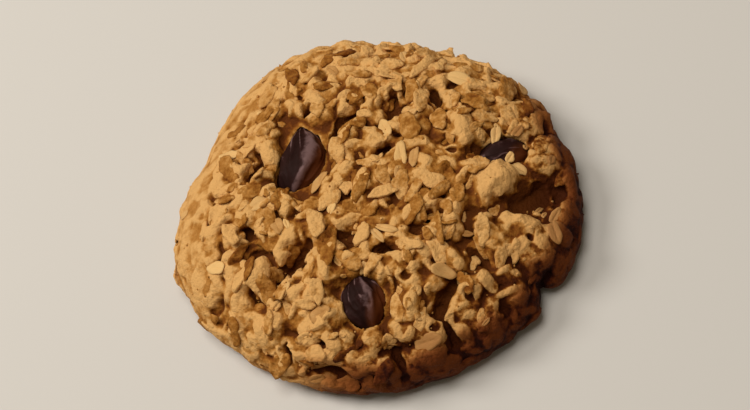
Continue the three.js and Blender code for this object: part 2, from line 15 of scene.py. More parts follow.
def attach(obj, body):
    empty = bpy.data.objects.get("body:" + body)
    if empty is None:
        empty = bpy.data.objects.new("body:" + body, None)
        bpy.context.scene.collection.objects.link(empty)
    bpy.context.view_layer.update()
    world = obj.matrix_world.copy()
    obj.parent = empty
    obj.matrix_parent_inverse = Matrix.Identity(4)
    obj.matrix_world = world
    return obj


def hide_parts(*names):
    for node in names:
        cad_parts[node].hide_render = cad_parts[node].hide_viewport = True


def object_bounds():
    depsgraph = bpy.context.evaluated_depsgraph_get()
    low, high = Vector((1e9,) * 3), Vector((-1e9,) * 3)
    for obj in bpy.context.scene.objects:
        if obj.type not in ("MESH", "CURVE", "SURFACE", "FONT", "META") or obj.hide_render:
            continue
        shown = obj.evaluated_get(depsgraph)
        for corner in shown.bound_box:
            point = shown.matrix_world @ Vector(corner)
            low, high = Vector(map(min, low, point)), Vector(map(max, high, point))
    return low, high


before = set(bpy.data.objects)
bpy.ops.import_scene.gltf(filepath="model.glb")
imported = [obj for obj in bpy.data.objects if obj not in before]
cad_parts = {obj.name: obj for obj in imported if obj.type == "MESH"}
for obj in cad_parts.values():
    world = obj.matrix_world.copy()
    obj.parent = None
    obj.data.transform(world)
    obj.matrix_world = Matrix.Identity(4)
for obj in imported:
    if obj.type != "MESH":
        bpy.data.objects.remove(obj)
CAD_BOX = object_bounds()

MM = 0.001
FULL_TURN = 2 * math.pi
GOLDEN_TURN = math.pi * (3 - math.sqrt(5))

# Driving dimensions of the dough, as in the solids
MEAN_RADIUS = 39.9
CROWN_HEIGHT = 16.5
WIDEST_HEIGHT = 4.0
BASE_SHARE = 0.93
DOME_FULLNESS = 2.6
RIM_LOBES = [(2, 1.5, 161), (3, 0.9, 105), (4, 0.7, 19), (5, 0.5, 50)]
RIM_INLETS = [(331, 4, 2.2), (88, 6, 1.3), (20, 6, 1.0), (163, 8, 0.8), (64, 9, 0.8)]

# Clumps of dough, and what they keep clear of
DOUGH_INSET = 1.3
DOUGH_TONE = 0.4
CLUMP_COUNT = 300
CLUMP_SEED = 11
CLUMP_LONG = (2.5, 4.4)
CLUMP_WIDE_SHARE = (0.6, 0.95)
CLUMP_HIGH = (1.4, 2.4)
CLUMP_SINK = (0.7, 1.3)
CLUMP_JITTER = 1.1
CLUMP_SEAM = 0.9
CLUMP_TONE = 0.45
CLUMP_ROUGHNESS = 0.15
CLUMP_OFF_LUMP = 0.8
CLUMP_OFF_HOLLOW = 1.1
CLUMP_OFF_RAISIN = 2.4
LUMP_SINK = 1.2

# The side where the crust is smooth, and how much of its relief the wall and the foot keep
SMOOTH_TURN = 166
SMOOTH_SPREAD = 62
SMOOTH_FROM_SHARE = 0.66
SMOOTH_TO_SHARE = 0.9
SMOOTH_RELIEF = 0.24
WALL_RELIEF = 0.75
FOOT_FADE = 2.2

# Large lumps: x, y, half length, half width, height above the dome, turn of the long axis
LUMPS = [
    (27, -0.5, 5.0, 3.8, 2.4, 44),
    (-18, -29, 4.4, 3.2, 1.2, 22),
    (-10, 22, 4.0, 3.0, 1.3, 98),
    (-3, 10, 5.6, 2.3, 1.7, 58),
    (-19.5, 9, 4.6, 2.2, 1.7, 112),
    (-11.5, -23, 4.2, 2.3, 1.5, 130),
    (-6, -19, 4.4, 3.0, 1.2, 144),
    (20, 12, 5.8, 2.8, 1.6, 96),
    (17, -10, 5.2, 2.4, 1.6, 46),
    (10, -17, 5.2, 2.4, 1.5, 46),
    (11, 22, 6.0, 1.9, 1.6, 77),
    (23.5, -22, 5.0, 2.2, 1.4, 42),
    (32, -9, 4.0, 2.4, 1.4, 153),
    (-4, -33, 3.8, 2.8, 1.3, 36),
    (37, 9, 3.6, 2.4, 1.2, 100),
]

# Crevices and hollows: x, y, half length, half width, depth, turn of the long axis
HOLLOWS = [
    (-4, 14.5, 4.6, 1.6, 2.6, 51),
    (-12.5, 18.5, 1.4, 1.1, 1.8, 106),
    (-22.5, 6, 3.6, 1.4, 2.0, 67),
    (-23, -9, 2.4, 1.4, 1.4, 163),
    (-20.5, -14, 2.8, 1.6, 1.7, 14),
    (-12.5, -16.5, 5.4, 1.5, 2.4, 51),
    (-2, -11.5, 2.6, 1.6, 1.6, 25),
    (6.5, -15, 2.6, 1.2, 1.6, 14),
    (14, -8.5, 1.3, 1.0, 2.2, 42),
    (-29, -23, 2.2, 1.1, 1.4, 48),
    (-20, -23, 3.4, 1.2, 1.4, 124),
    (-13.5, -32.5, 2.4, 1.1, 1.8, 87),
    (-5, -37, 3.6, 1.4, 1.6, 164),
    (19, -31.5, 3.8, 1.4, 2.2, 109),
    (14, 19, 4.6, 1.7, 1.9, 111),
    (6.5, 17, 3.0, 1.7, 1.7, 49),
    (5, 7, 2.8, 1.2, 1.6, 31),
    (34.3, -3.4, 6.8, 3.6, 2.8, 27),
    (17.5, -25.5, 4.6, 1.8, 2.0, 58),
    (8, -35.5, 2.8, 1.6, 1.8, 106),
    (24.5, -16.5, 3.0, 1.2, 1.4, 145),
    (30, 21, 2.0, 1.4, 1.6, 40),
    (28.2, 7.3, 5.4, 2.2, 2.4, 12),
]

# Raisins: node, x, y, half sizes, sink of the middle below the dome, turn, mouth width, and its folds:
# where they start round it, how they slant, how far the ends bend to one side of the middle, and how
# much slimmer the first end is than the middle
RAISINS = [
    ("raisin_upper_left", -12.9, 7.6, (8.3, 5.0, 3.8), 2.9, 88, 0.94, (3.9, -1.7, 2.2, 0.32)),
    ("raisin_lower", 2, -25, (5.8, 4.3, 3.4), 2.5, 106, 0.94, (5, 1.7, 0, 0)),
    ("raisin_right", 28.8, 7.3, (5.3, 3.8, 3.1), 3.1, 12, 0.74, (8, 1.7, 0, 0)),
]
RAISIN_POINT = 0.58
BEND_MIDDLE = 0.3
MOUTH_LIFT = 2.2
POCKET_SHARE = 0.97
RAISIN_REACH = 6
OVAL_REACH = 1.3

# Flakes that stand out in the photograph: x, y, half length, half width, turn
CLEAR_FLAKES = [
    (4.9, -12.5, 2.0, 0.8, 131),
    (6.5, -10.8, 2.8, 0.8, 155),
    (18.5, 23.5, 2.9, 1.7, 163),
    (-8.5, 1.2, 2.8, 1.0, 58),
    (4.7, 11.5, 2.6, 1.3, 116),
    (8.3, 5, 2.8, 1.3, 98),
    (11.5, 4.5, 2.7, 1.1, 89),
    (26.6, 10.4, 2.4, 1.0, 88),
    (31.8, 3.3, 2.0, 1.3, 143),
    (37.5, -10.8, 2.5, 1.2, 114),
    (-15.2, -9, 2.3, 1.2, 121),
    (-5.7, -27, 2.3, 1.6, 23),
    (17.5, -20, 2.6, 1.4, 162),
    (14, -32.5, 2.8, 1.8, 12),
]

# Oats coated in dough that stand out, given the same way
COATED_OATS = [
    (-4.5, 29.5, 2.9, 1.1, 5),
    (-1.5, 25, 2.4, 1.1, 9),
    (1, 21, 2.5, 1.5, 128),
    (11, 26.5, 3.6, 1.2, 61),
    (9.5, 20.5, 3.8, 1.3, 100),
    (10, 11, 3.0, 2.1, 118),
    (-3, 13, 2.9, 1.2, 61),
    (-4.5, 7, 3.3, 1.6, 105),
    (23.5, 19.5, 2.4, 1.4, 156),
    (27.5, 22, 3.2, 1.9, 88),
    (28.5, 14.5, 3.0, 1.6, 101),
    (34.8, 8.5, 3.4, 1.5, 76),
    (5.5, -3.5, 3.2, 1.3, 14),
    (2.5, -7, 1.9, 1.3, 17),
    (0.5, -2.5, 3.1, 1.3, 72),
    (5, 0.5, 3.0, 1.4, 112),
    (11.5, -3.5, 2.6, 1.2, 71),
    (16.5, -3.5, 2.8, 1.2, 52),
    (1.5, -12, 2.8, 1.3, 65),
    (25, -11.5, 3.0, 1.3, 92),
    (28, -16.5, 2.4, 1.1, 80),
    (8.5, -26, 2.9, 1.2, 100),
    (-17.5, -12, 3.4, 1.4, 166),
    (-18.5, -6.5, 3.8, 1.9, 107),
    (-7.5, -9, 3.0, 1.8, 109),
    (-28, 6, 3.8, 1.9, 118),
]

# Oats spread evenly, as in the solids
FLAKE_TRIES = 66
FLAKE_REACH = 0.86
FLAKE_SEED = 29
FLAKE_JITTER = 0.05
FLAKE_LONG = (2.1, 3.1)
FLAKE_WIDE_SHARE = (0.4, 0.62)
FLAKE_ROOM = 2.2
FLAKE_ROUGHNESS = 0.6
FLAKE_OFF_HOLLOW = 1.2
INLET_SHARE = 0.9
FLAKE_TILT = 6

# The grid that the crust is modelled on
VOXEL = 0.3
GRID_LOW = (-44.0, -42.0, -1.2)
GRID_HIGH = (44.5, 43.5, 20.0)
CRUST_TRIANGLES = 190000


def seeded_draws(seed):
    """Mulberry32: the same seed gives the same run of numbers from 0 to 1 as in the solids."""
    word = 0xFFFFFFFF
    state = seed

    def draw():
        nonlocal state
        state = (state + 0x6D2B79F5) & word
        mixed = ((state ^ (state >> 15)) * (1 | state)) & word
        mixed = ((mixed + (((mixed ^ (mixed >> 7)) * (61 | mixed)) & word)) ^ mixed) & word
        return (mixed ^ (mixed >> 14)) / 4294967296

    return draw


def between(limits, share):
    return limits[0] + (limits[1] - limits[0]) * share


def turn_between(one, other):
    """The difference of two angles, between minus half a turn and half a turn."""
    return (one - other + math.pi) % FULL_TURN - math.pi


def smooth_step(low, high, value):
    share = np.clip((value - low) / (high - low), 0, 1)
    return share * share * (3 - 2 * share)


def rim_radius(turn):
    radius = MEAN_RADIUS + 0 * turn
    for waves, rise, peak in RIM_LOBES:
        radius = radius + rise * np.cos(waves * (turn - math.radians(peak)))
    for at, spread, depth in RIM_INLETS:
        off = turn_between(turn, math.radians(at)) / math.radians(spread)
        radius = radius - depth * np.exp(-off * off)
    return radius


def rim_share(points):
    """How far points lie from the middle of the plan: 0 there and 1 at the rim."""
    turn = np.arctan2(points[..., 1], points[..., 0])
    return np.hypot(points[..., 0], points[..., 1]) / rim_radius(turn)


def on_side(points, turn, spread, power):
    """How near points lie to one side of the cookie: 1 at its turn, and less than half past its spread."""
    off = turn_between(np.arctan2(points[..., 1], points[..., 0]), math.radians(turn))
    return np.exp(-((off / math.radians(spread)) ** power))


def profile(fall):
    """Share of the rim's radius and height at a fall from the crown, 0, to the base's edge, pi."""
    sine = np.maximum(np.sin(fall), 0)
    on_dome = fall <= math.pi / 2
    share = np.where(on_dome, sine ** (2 / DOME_FULLNESS), BASE_SHARE + (1 - BASE_SHARE) * sine)
    dome = WIDEST_HEIGHT + (CROWN_HEIGHT - WIDEST_HEIGHT) * np.cos(fall)
    tuck = WIDEST_HEIGHT * (1 + np.cos(fall))
    return share, np.where(on_dome, dome, tuck)


# Limits that keep directions on the shell well defined: nearest the crown, along it and at the rim
LEAST_FALL = 0.05
LEAST_ALONG = 0.2
MOST_SHARE = 0.999


def shell_point(fall, turn):
    share, height = profile(fall)
    radius = rim_radius(turn) * share
    return np.stack([radius * np.cos(turn), radius * np.sin(turn), height + 0 * turn], axis=-1)


def unit(vectors):
    return vectors / np.maximum(np.linalg.norm(vectors, axis=-1, keepdims=True), 1e-9)


def shell_normal(fall, turn):
    step = 1e-3
    off_crown = np.maximum(fall, LEAST_FALL)
    down = shell_point(off_crown + step, turn) - shell_point(off_crown - step, turn)
    around = shell_point(off_crown, turn + step) - shell_point(off_crown, turn - step)
    return unit(np.cross(down, around))


class Spots:
    """Places on the smooth shell, each with its point, its normal and two directions along it."""

    def __init__(self, fall, turn, heading):
        fall, turn, heading = (np.atleast_1d(np.asarray(a, float)) for a in (fall, turn, heading))
        self.point = shell_point(fall, turn)
        self.normal = shell_normal(fall, turn)
        along = np.stack([np.cos(heading), np.sin(heading), 0 * heading], axis=-1)
        along = along - self.normal * np.sum(along * self.normal, axis=-1, keepdims=True)
        short = np.linalg.norm(along, axis=-1) < LEAST_ALONG
        along[short] = np.cross(self.normal[short], (0, 0, 1))
        self.along = unit(along)
        self.across = np.cross(self.normal, self.along)

    @classmethod
    def above(cls, x, y, turn_degrees):
        """The shell above places in the plan."""
        x, y = np.atleast_1d(np.asarray(x, float)), np.atleast_1d(np.asarray(y, float))
        turn = np.arctan2(y, x)
        share = np.minimum(np.hypot(x, y) / rim_radius(turn), MOST_SHARE)
        return cls(np.arcsin(share ** (DOME_FULLNESS / 2)), turn, np.radians(turn_degrees) + 0 * x)

    def frame(self, i):
        return np.stack([self.along[i], self.across[i], self.normal[i]])

    def oval(self, i, long, wide, high):
        """An oval that lies along one of the places."""
        return {"point": self.point[i], "axes": self.frame(i), "long": long, "wide": wide, "high": high}


def even_falls(steps):
    """Falls at even steps along the shell's profile, from the crown to the base's edge."""
    samples = 400
    fall = math.pi * np.arange(samples + 1) / samples
    points = shell_point(fall, 0 * fall)
    lengths = np.concatenate([[0], np.cumsum(np.linalg.norm(np.diff(points, axis=0), axis=1))])
    return np.interp(lengths[-1] * np.arange(steps + 1) / steps, lengths, fall), lengths[-1]


PROFILE_LENGTH = even_falls(100)[1]


def placed_ovals(rows):
    """The lumps or hollows of a list, with their places on the shell."""
    columns = np.array(rows, float).T
    spots = Spots.above(columns[0], columns[1], columns[5])
    return [spots.oval(i, *row[2:5]) for i, row in enumerate(rows)]


def placed_raisin(node, x, y, half, sink, turn, mouth, folds):
    """A raisin's node, middle, axes, half sizes, mouth width and folds."""
    spot = Spots.above(x, y, turn)
    return node, spot.point[0] - spot.normal[0] * sink, spot.frame(0), half, mouth, folds


PLACED_LUMPS = placed_ovals(LUMPS)
PLACED_HOLLOWS = placed_ovals(HOLLOWS)
PLACED_RAISINS = [placed_raisin(*row) for row in RAISINS]


def oval_share(oval, points):
    """How far points lie from an oval's middle: 0 there and 1 on its edge."""
    away = points - oval["point"]
    return np.hypot(away @ oval["axes"][0] / oval["long"], away @ oval["axes"][1] / oval["wide"])


def in_ovals(point, ovals, share):
    """Whether a point lies on an oval, drawn to a share of its size."""
    near = (oval for oval in ovals if np.linalg.norm(point - oval["point"]) <= OVAL_REACH * oval["long"])
    return any(oval_share(oval, point) < share for oval in near)


def on_raisin(point, room):
    """Whether a point lies over a raisin, or within so many millimetres of its edge."""
    for _, centre, axes, half, mouth, _ in PLACED_RAISINS:
        u, v, w = axes @ (point - centre)
        share = math.hypot(u / (half[0] * mouth + room), v / (half[1] * mouth + room))
        if share < 1 and abs(w) < RAISIN_REACH:
            return True
    return False


def is_free(point, share, room):
    """Whether a point is clear of the hollows, drawn to a share of their size, and of the raisins."""
    return not in_ovals(point, PLACED_HOLLOWS, share) and not on_raisin(point, room)


def make_clumps():
    """The large lumps first, then clumps spread evenly over the shell, the same as in the solids."""
    clumps = [{**lump, "high": lump["high"] + LUMP_SINK, "sink": LUMP_SINK} for lump in PLACED_LUMPS]
    draw = seeded_draws(CLUMP_SEED)
    falls, _ = even_falls(CLUMP_COUNT)
    for i in range(CLUMP_COUNT):
        reach = math.sqrt((i + 0.5) / CLUMP_COUNT) + (draw() - 0.5) * CLUMP_JITTER / PROFILE_LENGTH
        fall = falls[int(math.floor(min(1, max(0, reach)) * CLUMP_COUNT + 0.5))]
        turn = i * GOLDEN_TURN + (draw() - 0.5) * CLUMP_JITTER / MEAN_RADIUS
        long = between(CLUMP_LONG, draw())
        wide = long * between(CLUMP_WIDE_SHARE, draw())
        high = between(CLUMP_HIGH, draw())
        sink = between(CLUMP_SINK, draw())
        clump = {**Spots(fall, turn, draw() * FULL_TURN).oval(0, long, wide, high), "sink": sink}
        point = clump["point"]
        on_lump = in_ovals(point, PLACED_LUMPS, CLUMP_OFF_LUMP)
        if not on_lump and is_free(point, CLUMP_OFF_HOLLOW, CLUMP_OFF_RAISIN):
            clumps.append(clump)
    return clumps


def plan_roughness(points):
    """How rough the crust is by its place in the plan, from 0 to 1."""
    outer = smooth_step(SMOOTH_FROM_SHARE, SMOOTH_TO_SHARE, rim_share(points))
    return 1 - (1 - SMOOTH_RELIEF) * outer * on_side(points, SMOOTH_TURN, SMOOTH_SPREAD, power=4)


def height_roughness(z):
    wall = 1 - smooth_step(WIDEST_HEIGHT, 2 * WIDEST_HEIGHT, z)
    return (1 - (1 - WALL_RELIEF) * wall) * smooth_step(0, FOOT_FADE, z)


def roughness_at(points):
    return plan_roughness(points) * height_roughness(points[..., 2])


def in_cells(table, cell, part):
    """Values between the entries of a table, which repeats past its end."""
    total = 0
    for corner in range(8):
        bits = np.array([corner & 1, corner >> 1 & 1, corner >> 2 & 1])
        weight = np.prod(np.where(bits, part, 1 - part), axis=-1)
        at = (cell + bits) % table.shape
        total = total + weight * table[at[..., 0], at[..., 1], at[..., 2]]
    return total


# How the clay is shaped and read: lengths are in millimetres, and blurs in grid points
PROFILE_POINTS = 241
RADIUS_STEP = 0.25
RADIUS_REACH = 48
LAST_CELL = 1.001
MARGIN = 0.6
PLATE_CROWN = 1.15
PLATE_DROP = 0.3
SUNK_SHARES = (0.35, 1.25)
SUNK_REACH = 6
SUNK_MARGIN = 4
FINE_BLURS = (2, 1)
BROAD_BLURS = (6, 4)
LIFT_STEP = 0.2
LIFT_STEPS = np.arange(3.5, -6.0, -LIFT_STEP)
NORMAL_STEP = 0.6


class Clay:
    """A block of distances to the cookie's surface, less than 0 inside, with a tone at each point."""

    def __init__(self):
        self.low = np.array(GRID_LOW)
        self.counts = np.ceil((np.array(GRID_HIGH) - self.low) / VOXEL).astype(int) + 1
        self.axes = [self.low[i] + VOXEL * np.arange(self.counts[i]) for i in range(3)]
        self.shell = self.shell_distances()
        plan = np.stack(np.meshgrid(*self.axes[:2], indexing="ij"), axis=-1)
        rough = plan_roughness(plan)[..., None] * height_roughness(self.axes[2])
        self.depth = np.maximum(self.shell + DOUGH_INSET * rough, -self.axes[2]).astype(np.float32)
        self.tone = np.full(self.counts, DOUGH_TONE, np.float32)
        self.relief = np.zeros(self.counts, np.float32)

    def shell_distances(self):
        """Distances to the dome and its wall, looked up by height and by radius scaled to the rim."""
        share, height = profile(np.linspace(0, math.pi, PROFILE_POINTS))
        line = np.stack([share * MEAN_RADIUS, height], axis=1)
        radii = np.arange(0, RADIUS_REACH, RADIUS_STEP)
        r, z = np.meshgrid(radii, self.axes[2], indexing="ij")
        away = np.full(r.shape, math.inf)
        for start, end in zip(line[:-1], line[1:]):
            edge = end - start
            t = np.clip(((r - start[0]) * edge[0] + (z - start[1]) * edge[1]) / (edge @ edge), 0, 1)
            away = np.minimum(away, np.hypot(r - start[0] - t * edge[0], z - start[1] - t * edge[1]))
        widest = np.interp(z, line[::-1, 1], line[::-1, 0], left=line[-1, 0], right=-1)
        table = np.where(r < widest, -away, away).astype(np.float32)
        x, y = self.axes[0][:, None], self.axes[1][None, :]
        scaled = np.hypot(x, y) * MEAN_RADIUS / rim_radius(np.arctan2(y, x))
        place = np.clip(scaled / RADIUS_STEP, 0, len(radii) - LAST_CELL)
        row = place.astype(int)
        share = (place - row)[:, :, None].astype(np.float32)
        return table[row] * (1 - share) + table[row + 1] * share

    def near(self, centre, reach, axes):
        """The part of the block round a point, and the offsets of its grid points, also along axes."""
        first = np.maximum(0, ((centre - reach - self.low) / VOXEL).astype(int))
        last = np.minimum(self.counts, ((centre + reach - self.low) / VOXEL).astype(int) + 2)
        cuts = tuple(slice(start, max(start, end)) for start, end in zip(first, last))
        lines = (line[cut] - middle for line, cut, middle in zip(self.axes, cuts, centre))
        offset = np.ix_(*(line.astype(np.float32) for line in lines))
        return cuts, offset, [turned(offset, axis) for axis in axes]

    def add_oval(self, centre, axes, half, soft, tone):
        """Joins an ellipsoid on, with a seam softened over the distance soft."""
        cut, _, local = self.near(centre, max(half) + soft + MARGIN, axes)
        away = oval_distance(local, half)
        old = self.depth[cut]
        blend = np.maximum(soft - np.abs(old - away), 0)
        self.tone[cut] = np.where(away < old, tone, self.tone[cut])
        self.depth[cut] = np.minimum(old, away) - blend * blend / (4 * soft)

    def add_plate(self, relief, point, axes, half, rise, slopes, edge, corner, tone):
        """Marks a flat bit on a relief, pointed where corner is near 1 and square where it is large."""
        cut, _, (u, v, w) = self.near(point, max(half[0] + edge, PLATE_REACH), axes)
        share = (np.abs(u / half[0]) ** corner + np.abs(v / half[1]) ** corner) ** (1 / corner)
        inside = np.clip((1 - share) * half[1] / edge, 0, 1)
        crown = PLATE_CROWN - PLATE_DROP * share * share
        high = (rise * crown + slopes[0] * u + slopes[1] * v) * inside
        high = np.where(np.abs(w) < PLATE_REACH, high, 0)
        old = relief[cut]
        self.tone[cut] = np.where(high > old, tone, self.tone[cut])
        relief[cut] = np.maximum(old, high)

    def cut_oval(self, centre, axes, half, bend, taper):
        """Cuts an ellipsoid out, its ends bent to one side and its first end slimmer."""
        cut, _, (u, v, w) = self.near(centre, OVAL_REACH * max(half) + MARGIN, axes)
        along = np.clip(u / half[0], -1, 1)
        girth = 1 - taper * along
        aside = bend * (along * along - BEND_MIDDLE)
        away = oval_distance((u, (v - aside) / girth, w / girth), half)
        self.depth[cut] = np.maximum(self.depth[cut], -away)

    def sink_oval(self, hollow):
        """Lowers the surface over an oval on the shell, most at its middle."""
        cut, offset, (u, v, w) = self.near(hollow["point"], hollow["long"] + SUNK_MARGIN, hollow["axes"])
        share = np.sqrt((u / hollow["long"]) ** 2 + (v / hollow["wide"]) ** 2)
        place = np.stack(np.broadcast_arrays(*[o + c for o, c in zip(offset, hollow["point"])]), axis=-1)
        share = share * (1 + HOLLOW_WAVE * GRIT.at(place, HOLLOW_WAVE_SIZE))
        sunk = hollow["high"] * (1 - smooth_step(*SUNK_SHARES, share)) * (np.abs(w) < SUNK_REACH)
        self.depth[cut] += sunk * roughness_at(hollow["point"])

    def sample(self, block, points):
        """Values of a block at points, by straight interpolation between grid points."""
        place = np.clip((points - self.low) / VOXEL, 0, self.counts - LAST_CELL)
        cell = place.astype(int)
        return in_cells(block, cell, (place - cell).astype(np.float32))

    def finish(self):
        """Blurred copies of the distances: they show what stands proud, and which way the surface faces."""
        self.depth = np.maximum(self.depth, -self.axes[2].astype(np.float32))
        self.fine = blurred(self.depth, FINE_BLURS)
        self.broad = blurred(self.depth, BROAD_BLURS)

    def facing(self, block, points):
        """Directions in which a block of distances grows fastest."""
        steps = np.eye(3) * NORMAL_STEP
        slopes = [self.sample(block, points + s) - self.sample(block, points - s) for s in steps]
        return unit(np.stack(slopes, -1))

    def surface_lift(self, points, normals):
        """How far along each normal the surface lies from each point, seen from outside."""
        along = points[:, None, :] + normals[:, None, :] * LIFT_STEPS[None, :, None]
        inside = self.sample(self.depth, along) < 0
        first = np.argmax(inside, axis=1)
        return np.where(inside.any(axis=1), LIFT_STEPS[first] + LIFT_STEP / 2, 0.0)


def turned(offset, axis):
    """How far offsets reach along an axis."""
    x, y, z = (part * np.float32(share) for part, share in zip(offset, axis))
    return x + y + z


def oval_distance(local, half):
    """About the distance to an ellipsoid from places along its three axes."""
    shares = [place / np.float32(size) for place, size in zip(local, half)]
    reach = np.sqrt(sum(s * s for s in shares))
    slope = np.sqrt(sum((s / np.float32(h)) ** 2 for s, h in zip(shares, half)))
    return reach * (reach - 1) / np.maximum(slope, 1e-6)


def tilted(axes, roll, pitch):
    """Axes turned a little about their first and second directions."""
    rolled = Matrix.Rotation(roll, 3, Vector(axes[0])) @ Matrix.Rotation(pitch, 3, Vector(axes[1]))
    return np.array([rolled @ Vector(a) for a in axes])


def blurred(block, reaches):
    """A block averaged over cubes, one after the other, that reach so many grid points each way."""
    for reach in reaches:
        width = 2 * reach + 1
        for axis in range(3):
            edges = [(reach + 1, reach) if i == axis else (0, 0) for i in range(3)]
            padded = np.pad(block, edges, mode="edge")
            sums = np.cumsum(padded, axis=axis, dtype=np.float64)
            upper = np.take(sums, range(width, sums.shape[axis]), axis=axis)
            lower = np.take(sums, range(0, sums.shape[axis] - width), axis=axis)
            block = ((upper - lower) / width).astype(np.float32)
    return block


TABLE_SIZE = 32


class Lumpiness:
    """Smooth random values through space, the same for the same seed."""

    def __init__(self, seed):
        self.table = np.random.default_rng(seed).uniform(-1, 1, 3 * (TABLE_SIZE,))

    def at(self, points, size):
        place = points / size
        cell = np.floor(place).astype(int)
        part = place - cell
        return in_cells(self.table, cell, part * part * (3 - 2 * part))


# Smooth noise, its sizes and reaches in millimetres: outlines wander, and the crust is roughened
WARPS = [Lumpiness(seed) for seed in (101, 102, 103)]
GRIT = Lumpiness(104)
REGIONS = Lumpiness(105)
REGION_SIZE = 11
HOLLOW_WAVE = 0.5
HOLLOW_WAVE_SIZE = 1.9
WARP_SIZE = 2.4
WARP_REACH = 0.4
WARP_SHIFT = 50
FINE_WARP_SIZE = 0.9
FINE_WARP_REACH = 0.2
GRIT_SIZE = 1.0
GRIT_REACH = 0.1
GRIT_SHIFT = 20
FINE_GRIT_SIZE = 0.5
FINE_GRIT_REACH = 0.07
SMOOTH_GRIT = 0.4
FOOT_HOLD = 1.5
CROWN_KNEE = 17.0
CROWN_SQUASH = 0.6


def wandering(points, size, reach):
    """Smooth random moves through space."""
    return np.stack([w.at(points, size) for w in WARPS], axis=-1) * reach


def warped(clay, points):
    """Points moved along the shell by smooth noise, so that ovals get uneven outlines, and roughened."""
    points = np.atleast_2d(points)
    hold = smooth_step(0, FOOT_HOLD, points[..., 2])[..., None]
    normal = clay.facing(clay.shell, points)
    move = wandering(points, WARP_SIZE, WARP_REACH)
    move = move + wandering(points + WARP_SHIFT, FINE_WARP_SIZE, FINE_WARP_REACH)
    move = move - normal * np.sum(move * normal, axis=-1, keepdims=True)
    grit = GRIT.at(points, GRIT_SIZE)[..., None] * GRIT_REACH
    grit = grit + GRIT.at(points + GRIT_SHIFT, FINE_GRIT_SIZE)[..., None] * FINE_GRIT_REACH
    grit = grit * between((SMOOTH_GRIT, 1), plan_roughness(points))[..., None]
    moved = points + (move + normal * grit) * hold
    above = np.maximum(moved[..., 2] - CROWN_KNEE, 0)
    moved[..., 2] -= (1 - CROWN_SQUASH) * above
    return moved


# Low bits on the dough, in millimetres: count, seed, half length, width share, rise, slope and edge
PLATES = [
    (260, 60, (2.2, 3.8), (0.5, 0.8), (0.1, 0.4), 0.15, 0.6),
    (520, 61, (1.6, 3.4), (0.36, 0.62), (0.25, 0.8), 0.26, 0.38),
    (700, 63, (0.6, 1.6), (0.4, 0.9), (0.05, 0.2), 0.2, 0.35),
]
PLATE_JITTER = 1.5
PLATE_REACH = 3.5
PLATE_LEAST = 0.04
PLATE_FADE = 1.6
PLATE_BAKE_SHADE_LOSS = 0.4
PLATE_OFF_HOLLOW = 0.9
REGION_STRENGTH = (0.8, 0.5)
CORNER = (1.25, 2.8)

# Small pits in the crust, in millimetres
PIT_COUNT = 26
PIT_SEED = 67
PIT_JITTER = 6.0
PIT_REACH = 0.85
PIT_SIZE = (0.9, 1.5)
PIT_WIDE_SHARE = 0.7
PIT_DEPTH = 1.3


def scattered_spots(count, rng, jitter, reach=1.0):
    """Places spread evenly over the shell, each shifted a little."""
    steps = 1000
    falls, length = even_falls(steps)
    share = np.sqrt((np.arange(count) + 0.5) / count) * reach
    share = np.clip(share + rng.uniform(-0.5, 0.5, count) * jitter * 2 / length, 0, 1)
    turn = np.arange(count) * GOLDEN_TURN + rng.uniform(-0.5, 0.5, count) * jitter * 2 / MEAN_RADIUS
    fall = np.interp(share, np.linspace(0, 1, steps + 1), falls)
    return Spots(fall, turn, rng.uniform(0, FULL_TURN, count))


def in_inlet(point):
    """Whether a point lies at the rim in one of its inlets."""
    turn = math.atan2(point[1], point[0])
    for at, spread, _ in RIM_INLETS:
        if abs(turn_between(turn, math.radians(at))) < math.radians(spread):
            return rim_share(point) > INLET_SHARE
    return False


def emboss(clay, count, seed, long, wide_share, rise, slope, edge):
    """Spreads bits of one kind evenly over the crust, each a low rise that slopes some way."""
    rng = np.random.default_rng(seed)
    spots = scattered_spots(count, rng, PLATE_JITTER)
    strength = PLATE_LEAST + (1 - PLATE_LEAST) * roughness_at(spots.point) ** PLATE_FADE
    strength *= REGION_STRENGTH[0] + REGION_STRENGTH[1] * REGIONS.at(spots.point, REGION_SIZE)
    strength *= 1 - PLATE_BAKE_SHADE_LOSS * browning_and_shade(spots.point)
    longs = rng.uniform(*long, count)
    wides = longs * rng.uniform(*wide_share, count)
    rises = rng.uniform(*rise, count) * strength
    slopes = rng.uniform(-1, 1, (count, 2)) * slope * strength[:, None]
    corners = rng.uniform(*CORNER, count)
    tones = rng.uniform(0, 1, count)
    relief = np.zeros_like(clay.depth)
    for i, point in enumerate(spots.point):
        if is_free(point, PLATE_OFF_HOLLOW, wides[i]):
            shape = ((longs[i], wides[i]), rises[i], slopes[i], edge, corners[i], tones[i])
            clay.add_plate(relief, point, spots.frame(i), *shape)
    clay.depth -= relief
    clay.relief += relief


def sink_pits(clay):
    rng = np.random.default_rng(PIT_SEED)
    spots = scattered_spots(PIT_COUNT, rng, PIT_JITTER, PIT_REACH)
    for i, size in enumerate(rng.uniform(*PIT_SIZE, PIT_COUNT)):
        clay.sink_oval(spots.oval(i, size, size * PIT_WIDE_SHARE, PIT_DEPTH))


